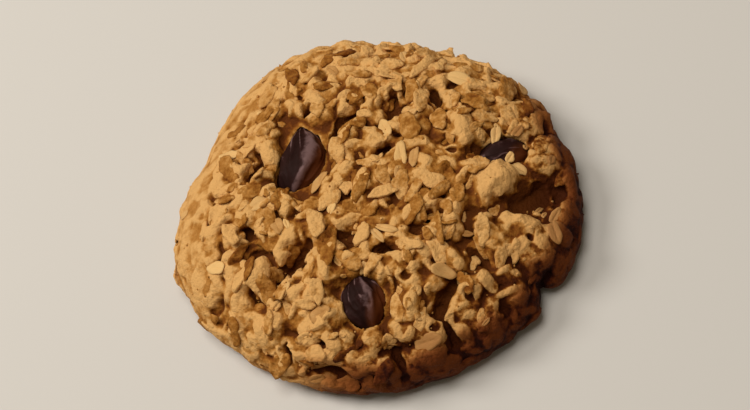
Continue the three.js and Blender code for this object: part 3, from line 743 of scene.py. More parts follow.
def model_crust():
    clay = Clay()
    for clump in make_clumps():
        rough = roughness_at(clump["point"])
        if rough >= CLUMP_ROUGHNESS:
            centre = clump["point"] - clump["axes"][2] * clump["sink"] * rough
            half = (clump["long"], clump["wide"], clump["high"] * rough)
            clay.add_oval(centre, clump["axes"], half, CLUMP_SEAM, CLUMP_TONE)
    for hollow in PLACED_HOLLOWS:
        clay.sink_oval(hollow)
    for row in PLATES:
        emboss(clay, *row)
    sink_pits(clay)
    for _, centre, axes, half, mouth, (_, _, bend, taper) in PLACED_RAISINS:
        clay.cut_oval(centre, axes, tuple(h * POCKET_SHARE for h in half), bend, taper)
        open_half = (half[0] * mouth, half[1] * mouth, half[2])
        for lift in (MOUTH_LIFT, 2 * MOUTH_LIFT):
            clay.cut_oval(centre + axes[2] * lift, axes, open_half, bend, taper)
    clay.finish()
    return clay


def largest_part(faces, count):
    """The faces of the largest connected part of a mesh."""
    edges = np.concatenate([faces[:, [0, 1]], faces[:, [1, 2]]])
    label = np.arange(count)
    while True:
        low = np.minimum(label[edges[:, 0]], label[edges[:, 1]])
        new = label.copy()
        np.minimum.at(new, edges[:, 0], low)
        np.minimum.at(new, edges[:, 1], low)
        new = new[new]
        if np.array_equal(new, label):
            break
        label = new
    biggest = np.argmax(np.bincount(label[faces[:, 0]]))
    return faces[label[faces[:, 0]] == biggest]


def new_object(name, data):
    """An object in the scene for a mesh, a light or a camera."""
    thing = bpy.data.objects.new(name, data)
    bpy.context.scene.collection.objects.link(thing)
    return thing


def mesh_piece(name, points, faces):
    """An object from points in millimetres and faces, without unused points."""
    used = np.unique(faces)
    place = np.zeros(len(points), int)
    place[used] = np.arange(len(used))
    mesh = bpy.data.meshes.new(name)
    mesh.from_pydata((points[used] * MM).tolist(), [], place[faces].tolist())
    mesh.validate()
    return smoothed(new_object(name, mesh))


def smoothed(piece):
    """The piece with its faces shaded as one smooth surface."""
    polygons = piece.data.polygons
    polygons.foreach_set("use_smooth", np.ones(len(polygons), bool))
    return piece


def new_ball(subdivisions):
    """A ball made of triangles, and its points at 1 from the middle."""
    bpy.ops.mesh.primitive_ico_sphere_add(subdivisions=subdivisions, radius=MM)
    piece = bpy.context.object
    return piece, unit(points_of(piece))


def points_of(piece):
    flat = np.zeros(len(piece.data.vertices) * 3, np.float32)
    piece.data.vertices.foreach_get("co", flat)
    return flat.reshape(-1, 3).astype(float) / MM


def set_points(piece, points):
    piece.data.vertices.foreach_set("co", (points * MM).astype(np.float32).ravel())
    piece.data.update()


def set_values(piece, names, columns):
    """Named values at the points of a piece."""
    for name, values in zip(names, columns):
        layer = piece.data.attributes.new(name, "FLOAT", "POINT")
        layer.data.foreach_set("value", np.asarray(values, np.float32))


def thinned(piece, triangles):
    """The piece with its mesh brought down to about so many triangles."""
    modifier = piece.modifiers.new("thin", "DECIMATE")
    modifier.ratio = min(1.0, triangles / len(piece.data.polygons))
    bpy.context.view_layer.update()
    evaluated = piece.evaluated_get(bpy.context.evaluated_depsgraph_get())
    mesh = bpy.data.meshes.new_from_object(evaluated)
    piece.modifiers.clear()
    old = piece.data
    piece.data = mesh
    bpy.data.meshes.remove(old)
    return piece


# Where the crust gets painted light, where it is browned by baking and painted shade, and what its colour
# follows
LIT_SIDE_TURN = 155
LIT_SIDE_SPREAD = 110
LIT_SIDE_SHARES = (0.35, 0.8)
LIT_LUMP = 1.1
LIT_LUMP_SHARES = (0.5, 1.2)
SHADED_SIDE_TURN = -35
SHADED_SIDE_SPREAD = 67
SHADED_SIDE_SHARES = (0.7, 0.95)
BAKED_FOOT = 0.35
BAKED_FOOT_HEIGHTS = (0.3, 5.0)
RIM_SHADE_SHARES = (0.90, 0.99)
PLAIN_RISE = 0.27
RISE_PER_FINE = 1.15
RISE_PER_BROAD = 0.26
RISE_PER_HEIGHT = 0.15
RISE_PER_RELIEF = 0.25
RISE_PER_LIGHT = 0.32
PLAIN_HEIGHT = 0.3
CRUST_VALUES = ("tone", "rise", "bake_shade", "rim_shade", "calm")


def browning_and_shade(points):
    """How brown the crust is painted, from 0 to 1: at the foot as baked, and on the side towards +X and -Y,
    away from the key light, as painted shade with some baking.
    """
    side = on_side(points, SHADED_SIDE_TURN, SHADED_SIDE_SPREAD, power=8)
    side = side * smooth_step(*SHADED_SIDE_SHARES, rim_share(points))
    foot = 1 - smooth_step(*BAKED_FOOT_HEIGHTS, points[..., 2])
    return np.clip(side + BAKED_FOOT * foot, 0, 1)


def rim_shade_share(points):
    """How far the brown tint and painted shade spread over the tone: 0 where only crevices take them, 1 at
    the rim, taken all over.
    """
    return smooth_step(*RIM_SHADE_SHARES, rim_share(points))


def painted_lightness(points):
    """How much painted light the crust gets: most on the side towards -X, which faces the key light, and on
    the largest lump.
    """
    side = on_side(points, LIT_SIDE_TURN, LIT_SIDE_SPREAD, power=4)
    side = side * smooth_step(*LIT_SIDE_SHARES, rim_share(points))
    return side + LIT_LUMP * (1 - smooth_step(*LIT_LUMP_SHARES, oval_share(PLACED_LUMPS[0], points)))


def calmness(points):
    """How even the tone of the crust is, from 0 to 1: most on the smooth side."""
    return 1 - plan_roughness(points)


def rise_at(clay, points):
    """How far the crust stands proud of what lies round it, for its colour: low places get painted shade,
    and painted light adds to it.
    """
    blocks = (clay.fine, clay.broad, clay.shell, clay.relief)
    fine, broad, height, relief = (clay.sample(block, points) for block in blocks)
    rise = PLAIN_RISE + RISE_PER_FINE * fine + RISE_PER_BROAD * broad
    rise = rise + RISE_PER_HEIGHT * (height - PLAIN_HEIGHT)
    return rise + RISE_PER_RELIEF * relief + RISE_PER_LIGHT * painted_lightness(points)


def crust_values(points, tone, rise):
    """The columns of CRUST_VALUES at points."""
    tone, rise = tone + np.zeros(len(points)), rise + np.zeros(len(points))
    return [tone, rise, browning_and_shade(points), rim_shade_share(points), calmness(points)]


def crust_piece(clay):
    grid = openvdb.FloatGrid()
    grid.copyFromArray(clay.depth)
    points, quads = grid.convertToQuads(isovalue=0.0)
    points = points * VOXEL + clay.low
    quads = quads.astype(int)
    triangles = np.concatenate([quads[:, [0, 1, 2]], quads[:, [0, 2, 3]]])
    triangles = largest_part(triangles, len(points))
    corners = points[triangles]
    volume = np.sum(np.cross(corners[:, 0], corners[:, 1]) * corners[:, 2])
    if volume < 0:
        triangles = triangles[:, ::-1]
    piece = thinned(mesh_piece("crust", points, triangles), CRUST_TRIANGLES)
    points = points_of(piece)
    tone, rise = clay.sample(clay.tone, points), rise_at(clay, points)
    set_values(piece, CRUST_VALUES, crust_values(points, tone, rise))
    set_points(piece, warped(clay, points))
    return piece


# Oats, in millimetres: thickness, rings from the middle to the edge, steps round it, crease, unevenness
# of the edge, and how soon the flat top rounds off, where more is later
BARE_OAT = (0.42, 5, 22, 0.16, 0.07, 6)
COATED_OAT = (0.95, 7, 32, 0.0, 0.08, 5)
BROKEN_OAT = (0.8, 6, 26, 0.0, 0.11, 5)
CHIP = (0.5, 4, 18, 0.0, 0.13, 6)
EDGE_WAVES = [(2, 1.0), (3, 1.0), (5, 0.6)]
EDGE_JITTER = 0.5
EDGE_THINNING = 0.9
CUP = (-0.05, 0.2)
BEND = (-0.2, 0.2)
RIPPLE = 0.08
CREASE_SPREAD = 0.13
CREASE_FADE = 0.5
UNDER_CREASE = 0.4

# Small pale flakes that show in the photograph: x, y, half length, half width, turn
SMALL_CLEAR_FLAKES = [
    (29.8, 5.0, 1.3, 0.9, 59),
    (26.4, 3.9, 1.1, 0.6, 16),
    (32.4, 8.1, 0.7, 0.6, 59),
    (30.5, 10.5, 1.3, 0.9, 53),
    (36.5, 4.7, 1.1, 0.8, 78),
    (36.0, -4.7, 1.6, 0.5, 49),
    (36.6, -6.0, 1.0, 0.45, 59),
    (-13.3, -8.8, 1.4, 0.6, 111),
    (-22.5, 19.0, 0.9, 0.7, 17),
    (25.0, -28.0, 1.1, 0.4, 55),
    (-4.8, -6.3, 1.2, 1.0, 63),
]
SMALL_FLAKE_COUNT = 18
SMALL_FLAKE_SEED = 71
SMALL_FLAKE_JITTER = 4.0
SMALL_FLAKE_REACH = 0.84
SMALL_FLAKE_LONG = (1.3, 2.4)
SMALL_FLAKE_WIDE_SHARE = (0.4, 0.7)
SMALL_FLAKE_TILTS = (9, 5)
FLAKE_CORNER = (1.7, 2.4)
FLAKE_SINK = 0.02

# Broken oats coated in dough: their sizes, how they lie, and what they keep clear of
BROKEN_COUNT = 560
BROKEN_SEED = 73
BROKEN_JITTER = 3.0
BROKEN_REACH = 0.95
BROKEN_SHORT = (0.9, 1.6)
BROKEN_LONG = (1.7, 3.2)
SHORT_SHARE = 0.3
CHIP_SHARE = 0.35
BROKEN_WIDE_SHARE = (0.38, 0.6)
BROKEN_ROLL = 24
BROKEN_PITCH = 11
BROKEN_TURN = 68
BROKEN_TURN_SPREAD = 48
BROKEN_SINK = (0.05, 0.35)
BROKEN_DENSITY = 1.15
BROKEN_BAKE_SHADE_LOSS = 0.85
BROKEN_LOW_SHARE = 0.3
BROKEN_LOW_HEIGHTS = (4, 9)
BROKEN_ROUGHNESS = 0.4
BROKEN_ROOM = 1.2
BROKEN_OFF_RAISIN = 0.8
BROKEN_OFF_HOLLOW = 1.1

# Every oat coated in dough: its outline, its sink, its colour and its uneven surface
COATED_SINK = 0.1
COATED_CORNER = (1.6, 2.8)
COATED_RISE = (0.35, 0.75)
RIM_SINK = 0.35
RIM_SINK_SHARES = (0.88, 0.94)
LOWEST_OAT = 0.3
OAT_OVER_BOX = 0.3
OAT_WARP_SIZE = 1.3
OAT_WARP_REACH = 0.18
OAT_GRIT_SIZE = 0.6
OAT_GRIT_REACH = 0.09


def solid_flakes():
    """The flakes of the solids, chosen by the same rule: place, frame, half length, half width, tilts."""
    draw = seeded_draws(FLAKE_SEED)

    def tilt():
        return math.radians(FLAKE_TILT) * (2 * draw() - 1)

    flakes = []
    for x, y, long, wide, turn in CLEAR_FLAKES + COATED_OATS:
        spot = Spots.above(x, y, turn)
        flakes.append((spot.point[0], spot.frame(0), long, wide, tilt(), tilt()))
    falls, _ = even_falls(FLAKE_TRIES)
    for i in range(FLAKE_TRIES):
        fall = falls[int(math.sqrt((i + 0.5) / FLAKE_TRIES) * FLAKE_TRIES * FLAKE_REACH + 0.5)]
        turn = i * GOLDEN_TURN + draw() * FLAKE_JITTER
        long = between(FLAKE_LONG, draw())
        wide = long * between(FLAKE_WIDE_SHARE, draw())
        spot = Spots(fall, turn, draw() * FULL_TURN)
        point = spot.point[0]
        flake = (point, spot.frame(0), long, wide, tilt(), tilt())
        near_flake = any(np.linalg.norm(f[0] - point) < FLAKE_ROOM + f[3] for f in flakes)
        if near_flake or in_inlet(point) or roughness_at(point) < FLAKE_ROUGHNESS:
            continue
        if is_free(point, FLAKE_OFF_HOLLOW, long):
            flakes.append(flake)
    return flakes


SOLID_FLAKES = solid_flakes()


def flake_faces(steps, rings):
    """Triangles of a flake's top, its underside and its edge, from its points ring by ring."""
    count = 1 + rings * steps
    faces = []
    for flip, start in ((False, 0), (True, count)):
        for s in range(steps):
            n = (s + 1) % steps
            cells = [(start, start + 1 + s, start + 1 + n)]
            for a in range(start + 1, start + 1 + (rings - 1) * steps, steps):
                b = a + steps
                cells += [(a + s, b + s, b + n), (a + s, b + n, a + n)]
            faces += [c[::-1] if flip else c for c in cells]
    rim = 1 + (rings - 1) * steps
    for s in range(steps):
        n = (s + 1) % steps
        faces += [(rim + s, count + rim + s, count + rim + n), (rim + s, count + rim + n, rim + n)]
    return np.array(faces)


def flake_shape(long, wide, corner, kind, rng):
    """One oat: an uneven chip, cupped, with a crease along it. Points, faces and places on it."""
    thick, rings, steps, deep, uneven, flat = kind
    turn = np.arange(steps) / steps * FULL_TURN
    phase = rng.uniform(0, FULL_TURN, 3)
    reach = (np.abs(np.cos(turn)) ** corner + np.abs(np.sin(turn)) ** corner) ** (-1 / corner)
    wave = sum(size * np.cos(waves * turn + start) for (waves, size), start in zip(EDGE_WAVES, phase))
    edge = reach * (1 + uneven * (wave + rng.uniform(-EDGE_JITTER, EDGE_JITTER, steps)))
    shares = np.linspace(0, 1, rings + 1)[1:]
    u = np.concatenate([[0], (shares[:, None] * (np.cos(turn) * edge)[None, :]).ravel()])
    v = np.concatenate([[0], (shares[:, None] * (np.sin(turn) * edge)[None, :]).ravel()])
    share = np.concatenate([[0], np.repeat(shares, steps)])
    cup = rng.uniform(*CUP)
    bend = rng.uniform(*BEND)
    middle = cup * v * v * wide + bend * u * u + RIPPLE * np.sin(3 * u + phase[0])
    crease = deep * np.exp(-((v / CREASE_SPREAD) ** 2)) * (1 - CREASE_FADE * u * u)
    half = thick / 2 * np.sqrt(np.maximum(1 - EDGE_THINNING * share**flat, 0))
    top = np.stack([u * long, v * wide, middle + half - crease], axis=1)
    under = np.stack([u * long, v * wide, middle - half + UNDER_CREASE * crease], axis=1)
    places = np.stack([u, v], axis=1)
    return np.concatenate([top, under]), flake_faces(steps, rings), np.concatenate([places, places])


class Heap:
    """Many small bodies gathered into one mesh, with values at their points."""

    def __init__(self):
        self.points, self.faces, self.columns = [], [], []
        self.count = 0

    def add(self, points, faces, columns):
        self.points.append(points)
        self.faces.append(faces + self.count)
        self.columns.append(columns)
        self.count += len(points)

    def piece(self, name, labels):
        piece = mesh_piece(name, np.concatenate(self.points), np.concatenate(self.faces))
        set_values(piece, labels, np.concatenate(self.columns, axis=1))
        return piece


NO_RAISIN = -9.0


def raisin_lift(points):
    """How far above each point the top of a raisin lies, or far below where there is none."""
    lift = np.full(len(points), NO_RAISIN)
    for _, centre, axes, half, _, (_, _, bend, taper) in PLACED_RAISINS:
        u, v, w = axes @ (points - centre).T
        aside = bend * ((u / half[0]) ** 2 - BEND_MIDDLE)
        girth = 1 - taper * np.clip(u / half[0], -1, 1)
        left = 1 - (u / half[0]) ** 2 - ((v - aside) / (half[1] * girth)) ** 2
        top = half[2] * girth * np.sqrt(np.maximum(left, 0)) - w
        lift = np.where(left > 0, np.maximum(lift, top), lift)
    return lift


REST_SHARE = 0.7
REST_TILT = math.radians(15)
RAISIN_CLEAR = 0.3


def resting(clay, rows):
    """How the crust carries oats: how far out along the normal they lie, and their roll and pitch."""
    points, frames, long, wide = (np.array([row[k] for row in rows]) for k in range(4))
    along = frames[:, 0] * long[:, None] * REST_SHARE
    across = frames[:, 1] * wide[:, None] * REST_SHARE
    places = (points, points + along, points - along, points + across, points - across)
    middle, front, back, left, right = (
        np.maximum(clay.surface_lift(place, frames[:, 2]), raisin_lift(place)) for place in places
    )
    lift = np.maximum(middle, np.maximum(front + back, left + right) / 2)
    lift = np.maximum(lift, raisin_lift(points) + RAISIN_CLEAR)
    roll = np.arctan((left - right) / (2 * REST_SHARE * wide))
    pitch = np.arctan((back - front) / (2 * REST_SHARE * long))
    return lift, np.clip(roll, -REST_TILT, REST_TILT), np.clip(pitch, -REST_TILT, REST_TILT)


def flakes_piece(clay):
    """The pale flakes: the clear ones, and small ones all over the crust."""
    rng = np.random.default_rng(SMALL_FLAKE_SEED)
    rows = SOLID_FLAKES[: len(CLEAR_FLAKES)]
    for x, y, long, wide, turn in SMALL_CLEAR_FLAKES:
        spot = Spots.above(x, y, turn)
        tilts = np.radians(rng.uniform(-FLAKE_TILT, FLAKE_TILT, 2))
        rows.append((spot.point[0], spot.frame(0), long, wide, *tilts))
    spots = scattered_spots(SMALL_FLAKE_COUNT, rng, SMALL_FLAKE_JITTER, SMALL_FLAKE_REACH)
    for i, point in enumerate(spots.point):
        long = rng.uniform(*SMALL_FLAKE_LONG)
        wide = long * rng.uniform(*SMALL_FLAKE_WIDE_SHARE)
        tilts = np.radians(rng.uniform(-1, 1, 2) * SMALL_FLAKE_TILTS)
        if not on_raisin(point, wide):
            rows.append((point, spots.frame(i), long, wide, *tilts))
    heap = Heap()
    for (point, axes, long, wide, roll, pitch), up, lean, dip in zip(rows, *resting(clay, rows)):
        shape, cells, place = flake_shape(long, wide, rng.uniform(*FLAKE_CORNER), BARE_OAT, rng)
        middle = warped(clay, point + axes[2] * (up - FLAKE_SINK))
        points = middle + shape @ tilted(axes, lean + roll, dip + pitch)
        tone = np.full(len(shape), rng.uniform(0, 1))
        heap.add(points, cells, [tone, *(place * (long, wide)).T, browning_and_shade(points)])
    return heap.piece("oat_flakes", ("tone", "along", "across", "bake_shade"))


def broken_oats(rng):
    """Rows for the broken oats: place, frame, half length, half width, tilts, kind and sink."""
    whole = np.array([flake[0] for flake in SOLID_FLAKES])
    clear = whole[: len(CLEAR_FLAKES)]
    spots = scattered_spots(BROKEN_COUNT, rng, BROKEN_JITTER, BROKEN_REACH)
    rough = roughness_at(spots.point)
    baked_shaded = browning_and_shade(spots.point)
    low = between((BROKEN_LOW_SHARE, 1), smooth_step(*BROKEN_LOW_HEIGHTS, spots.point[:, 2]))
    density = BROKEN_DENSITY * rough**2 * (1 - BROKEN_BAKE_SHADE_LOSS * baked_shaded) * low
    rows = []
    for i, point in enumerate(spots.point):
        kind = CHIP if rng.uniform() < CHIP_SHARE else BROKEN_OAT
        long = rng.uniform(*BROKEN_SHORT) if rng.uniform() < SHORT_SHARE else rng.uniform(*BROKEN_LONG)
        wide = long * rng.uniform(*BROKEN_WIDE_SHARE)
        heading = rng.normal(BROKEN_TURN, BROKEN_TURN_SPREAD)
        roll = math.radians(BROKEN_ROLL) * rng.uniform(-1, 1) * rough[i]
        pitch = math.radians(BROKEN_PITCH) * rng.uniform(-1, 1) * rough[i]
        sink = rng.uniform(*BROKEN_SINK)
        if rng.uniform() > density[i] or rough[i] < BROKEN_ROUGHNESS:
            continue
        to_whole, to_clear = (np.linalg.norm(other - point, axis=1).min() for other in (whole, clear))
        if to_whole < BROKEN_ROOM + wide or to_clear < BROKEN_ROOM + long:
            continue
        room = BROKEN_OFF_RAISIN * long
        if in_ovals(point, PLACED_LUMPS[:1], 1) or not is_free(point, BROKEN_OFF_HOLLOW, room):
            continue
        axes = Spots.above(*point[:2], heading).frame(0)
        rows.append((point, axes, long, wide, roll, pitch, kind, sink))
    return rows


def coated_piece(clay):
    """Whole and broken oats coated in dough, half sunk in the crust, fewer on the smooth side."""
    rng = np.random.default_rng(BROKEN_SEED)
    rows = [(*flake, COATED_OAT, COATED_SINK) for flake in SOLID_FLAKES[len(CLEAR_FLAKES) :]]
    count = len(rows)
    rows += broken_oats(rng)
    points = np.array([row[0] for row in rows])
    outward = np.array([row[1][2] for row in rows])
    middles = points + outward * clay.surface_lift(points, outward)[:, None]
    normals = clay.facing(clay.broad, middles)
    lift, roll, pitch = resting(clay, rows[:count])
    middles[:count] = points[:count] + outward[:count] * lift[:, None]
    middles = warped(clay, middles)
    highest = CAD_BOX[1][2] / MM + OAT_OVER_BOX
    heap = Heap()
    for i, (_, frame_i, long, wide, lean, dip, kind, sink) in enumerate(rows):
        along = unit(frame_i[0] - normals[i] * (frame_i[0] @ normals[i]))
        axes = tilted(np.stack([along, np.cross(normals[i], along), normals[i]]), lean, dip)
        if i < count:
            axes = tilted(frame_i, roll[i] + lean, pitch[i] + dip)
        shape, cells, _ = flake_shape(long, wide, rng.uniform(*COATED_CORNER), kind, rng)
        sink += RIM_SINK * smooth_step(*RIM_SINK_SHARES, rim_share(points[i]))
        corners = middles[i] - normals[i] * sink + shape @ axes
        corners += wandering(corners, OAT_WARP_SIZE, OAT_WARP_REACH)
        corners += normals[i] * GRIT.at(corners, OAT_GRIT_SIZE)[:, None] * OAT_GRIT_REACH
        tone, rise = rng.uniform(), rng.uniform(*COATED_RISE)
        if corners[:, 2].min() >= LOWEST_OAT and corners[:, 2].max() <= highest:
            heap.add(corners, cells, crust_values(corners, tone, rise))
    return heap.piece("oat_bits", CRUST_VALUES)


# A raisin's folds, cross folds, fine folds, wrinkles and keel: how many, how slanted and how high
RAISIN_LEVELS = 6
RAISIN_SEED = 200
WAVER = 0.5
WAVER_SCALE = 1.6
WAVER_SHIFT = 3
FOLD_COUNT = 5
FOLD_RISE = 0.09
CROSS_COUNT = 2
CROSS_SLANT = 3.1
CROSS_SHARE = 0.3
FINE_COUNT = 5.5
FINE_SLANT = 2.4
FINE_RISE = 0.028
WRINKLE_SCALES = (2.6, 3.4, 3.4)
WRINKLE_SHIFT = 9
WRINKLE_STEP = 7
WRINKLE_WAVER = 0.5
WRINKLE_RISE = 0.05
KEEL_TURN = math.radians(114)
KEEL_SPREAD = math.radians(19)
KEEL_RISE = 0.07

# Where a raisin gets its dust and a painted highlight, along its keel and in streaks, and where its flank
# shows red as painted light through the skin
KEEL_HIGHLIGHT = 0.75
STREAK_HIGHLIGHT = 0.85
KEEL_RIDGES = (-0.6, 0.6)
STREAK_FOLDS = (0.3, 0.8)
STREAK_PLACES = (-0.2, 0.3)
STREAK_RIDGES = (-0.3, 0.2)
GLOW_FLANK_TURN = math.radians(-20)
GLOW_FLANK_SHARES = (0.25, 0.75)


def raisin_piece(node, centre, axes, half, shape):
    """A raisin: an oval with soft points at both ends, folds along it and fine wrinkles."""
    piece, ball = new_ball(RAISIN_LEVELS)
    piece.name = node + "_skin"
    piece.data.name = piece.name
    along = ball[:, 0]
    around = np.arctan2(ball[:, 2], ball[:, 1])
    start, slant, bend, taper = shape
    lumps = Lumpiness(RAISIN_SEED + round(start))
    waver = WAVER * lumps.at(ball * WAVER_SCALE + WAVER_SHIFT, 1.0)
    folds = np.sin(FOLD_COUNT * around + slant * along + start + waver)
    cross = np.sin(CROSS_COUNT * around - CROSS_SLANT * along + 2 * start)
    fine_folds = 1 - 2 * np.abs(np.sin(FINE_COUNT * around + FINE_SLANT * along + 2 * waver))
    wavers = [lumps.at(ball * 2 + k * WRINKLE_STEP, 1.0) for k in range(3)]
    wander = ball * WRINKLE_SCALES + WRINKLE_SHIFT
    wander = wander + WRINKLE_WAVER * np.stack(wavers, axis=1)
    ridges = 1 - 2 * np.abs(lumps.at(wander, 1.0))
    keel = np.exp(-((turn_between(around, KEEL_TURN) / KEEL_SPREAD) ** 2))
    girth = 1 + FOLD_RISE * folds * (1 - CROSS_SHARE + CROSS_SHARE * cross) + FINE_RISE * fine_folds
    girth = (1 - RAISIN_POINT * along**4) * girth
    girth = girth * (1 + WRINKLE_RISE * ridges + KEEL_RISE * keel) * (1 - taper * along)
    local = ball * np.stack([np.ones(len(ball)), girth, girth], axis=1) * half
    local[:, 1] += bend * (along**2 - BEND_MIDDLE)
    set_points(piece, centre + local @ axes)
    # Painted highlight: ridges, the keel and streaks along the fine folds are lightened in colour, together
    # with the skin's dust.
    ridge = 0.5 + 0.25 * (ridges + folds)
    glint_streaks = smooth_step(*STREAK_FOLDS, fine_folds) * smooth_step(*STREAK_PLACES, along)
    glint_streaks = glint_streaks * smooth_step(*STREAK_RIDGES, ridges)
    bloom_highlight = np.maximum(KEEL_HIGHLIGHT * keel * smooth_step(*KEEL_RIDGES, ridges), STREAK_HIGHLIGHT * glint_streaks)
    # Painted light: the side of each raisin towards turn -20, away from the key light, is a lighter red, as
    # if light shone through the skin.
    glow_flank = ball @ axes @ (math.cos(GLOW_FLANK_TURN), math.sin(GLOW_FLANK_TURN), 0)
    set_values(piece, ("ridge", "bloom_highlight", "glow_flank"), (ridge, bloom_highlight, smooth_step(*GLOW_FLANK_SHARES, glow_flank)))
    return smoothed(piece)


CRUMB_COUNT = 170
CRUMB_SEED = 83
CRUMB_JITTER = 5.0
CRUMB_REACH = 0.86
CRUMB_SIZE = (0.15, 0.34)
CRUMB_STRETCH = (0.6, 1.3)
CRUMB_BUMPS = 0.18
CRUMB_RISE = 0.55


def crumbs_piece(clay):
    """Small crumbs caught on the crust."""
    seed_ball, ball = new_ball(subdivisions=2)
    cells = np.array([p.vertices[:] for p in seed_ball.data.polygons])
    bpy.data.objects.remove(seed_ball)
    rng = np.random.default_rng(CRUMB_SEED)
    spots = scattered_spots(CRUMB_COUNT, rng, CRUMB_JITTER, CRUMB_REACH)
    lift = clay.surface_lift(spots.point, spots.normal)
    heap = Heap()
    for i, point in enumerate(spots.point):
        size = rng.uniform(*CRUMB_SIZE)
        stretch = rng.uniform(*CRUMB_STRETCH, 3)
        bumps = 1 + CRUMB_BUMPS * rng.uniform(-1, 1, len(ball))
        middle = warped(clay, point + spots.normal[i] * lift[i])
        points = middle + ball * bumps[:, None] * size * stretch @ spots.frame(i)
        heap.add(points, cells, crust_values(points, rng.uniform(0, 1), CRUMB_RISE))
    return heap.piece("crumbs", CRUST_VALUES)


def new_material(name, roughness, specular=0.5):
    """A material with one principled shader, and that shader and the tree."""
    material = bpy.data.materials.new(name)
    material.use_nodes = True
    shader = material.node_tree.nodes["Principled BSDF"]
    shader.inputs["Roughness"].default_value = roughness
    shader.inputs["Specular IOR Level"].default_value = specular
    return material, material.node_tree, shader


def join(tree, value, socket):
    """Gives a socket a value, or the output of another node."""
    if isinstance(value, bpy.types.NodeSocket):
        tree.links.new(value, socket)
    else:
        socket.default_value = value


def add_node(tree, kind, inputs=None, **settings):
    """A node with its settings, and inputs given as values or as the sockets to join."""
    node = tree.nodes.new(kind)
    for key, value in settings.items():
        setattr(node, key, value)
    for key, value in (inputs or {}).items():
        join(tree, value, node.inputs[key])
    return node


def attribute(tree, name):
    return add_node(tree, "ShaderNodeAttribute", attribute_name=name).outputs["Fac"]


def math_node(tree, operation, first, second):
    """One sum of two values or sockets."""
    return add_node(tree, "ShaderNodeMath", {0: first, 1: second}, operation=operation).outputs[0]


def weighted(tree, *terms):
    """The sum of sockets, each times its own share."""
    parts = [math_node(tree, "MULTIPLY", *term) for term in terms]
    total = parts[0]
    for part in parts[1:]:
        total = math_node(tree, "ADD", total, part)
    return total


def stretched(tree, value, pivot, share):
    """A value moved to so many times as far from a pivot."""
    off = math_node(tree, "MULTIPLY", math_node(tree, "SUBTRACT", value, pivot), share)
    return math_node(tree, "ADD", off, pivot)


def mapped(tree, value, *limits):
    """A value that runs between two limits, made to run between two others."""
    return add_node(tree, "ShaderNodeMapRange", {0: value, **dict(enumerate(limits, 1))}).outputs[0]


def ramp(tree, factor, stops):
    """Colours along a factor, from places and linear colours."""
    node = add_node(tree, "ShaderNodeValToRGB", {"Fac": factor})
    elements = node.color_ramp.elements
    while len(elements) < len(stops):
        elements.new(0.5)
    for element, (place, color) in zip(elements, stops):
        element.position = place
        element.color = (*color, 1)
    return node.outputs["Color"]


def mixed(tree, blend, factor, first, second):
    """Two colours mixed."""
    inputs = {0: factor, 6: first, 7: second}
    return add_node(tree, "ShaderNodeMix", inputs, data_type="RGBA", blend_type=blend).outputs[2]


NOISE_ROUGHNESS = 0.6


def noise(tree, scale, detail):
    """Fine random values over the piece, between 0 and 1."""
    place = add_node(tree, "ShaderNodeTexCoord").outputs["Object"]
    inputs = {"Vector": place, "Scale": scale, "Detail": detail, "Roughness": NOISE_ROUGHNESS}
    return add_node(tree, "ShaderNodeTexNoise", inputs).outputs["Fac"]


# Colours, with painted shade in the crust's darkest browns, a painted highlight in the raisin's bloom and
# painted light in its flank, and the places on the crust's ramp that its contrast turns about
HOLLOW_SHADE_BROWN = (0.105, 0.027, 0.003)
DEEP_SHADE_BROWN = (0.15, 0.041, 0.004)
CREVICE_SHADE_BROWN = (0.235, 0.078, 0.009)
CRUST_BROWN = (0.33, 0.130, 0.019)
CRUST_TAN = (0.46, 0.206, 0.045)
CRUST_LIGHT = (0.70, 0.39, 0.135)
BAKE_SHADE_TINT = (0.17, 0.070, 0.030)
OAT_SHADE = (0.52, 0.27, 0.085)
OAT_PALE = (0.76, 0.47, 0.18)
RAISIN_DARK = (0.013, 0.004, 0.003)
RAISIN_SKIN = (0.022, 0.007, 0.006)
RAISIN_BLOOM_HIGHLIGHT = (0.150, 0.088, 0.086)
RAISIN_GLOW_FLANK = (0.090, 0.022, 0.005)
RAISIN_SHEEN = (1.0, 0.72, 0.68)
TAN_PLACE = 0.55
LIVELINESS = 1.2
BAKE_SHADE_PIVOT = 0.33
BAKE_SHADE_CONTRAST = 0.8
CRUST_RAMP = [
    (0.0, HOLLOW_SHADE_BROWN),
    (0.11, DEEP_SHADE_BROWN),
    (0.25, CREVICE_SHADE_BROWN),
    (0.40, CRUST_BROWN),
    (TAN_PLACE, CRUST_TAN),
    (0.80, CRUST_LIGHT),
]
OAT_RAMP = [(0.25, CRUST_BROWN), (0.5, OAT_SHADE), (0.9, OAT_PALE)]
RAISIN_RAMP = [(0.2, RAISIN_DARK), (0.5, RAISIN_SKIN), (0.85, RAISIN_BLOOM_HIGHLIGHT)]
BAKE_SHADE_STEPS = (0.0, 0.25, 0.5, 0.75, 1.0)

# Noise in the crust's tone, from broad to fine: scale, detail and share
CRUST_NOISES = [(120, 1, 0.4), (260, 3, 0.55), (620, 2, 0.7), (1600, 4, 0.35)]
CRUST_TONE_SHARE = 0.32
CRUST_TONE_MIDDLE = 1.155
CRUST_TONE_RISE = 0.04
CALM_SHARE = 0.75

# How the tone of the crust maps to the share of its baked tint and painted shade: light to dark, then least
# to most
LOW_TONES = (0.34, 0.60)
LOW_TINTS = (0.35, 0.08)

# The crust's fine relief: the scale of its crumbs, and the shares of scraps and crumbs in its height
CRUMB_SCALE = 1300.0
SCRAP_HEIGHT = 0.8
CRUMB_HEIGHT = -0.4

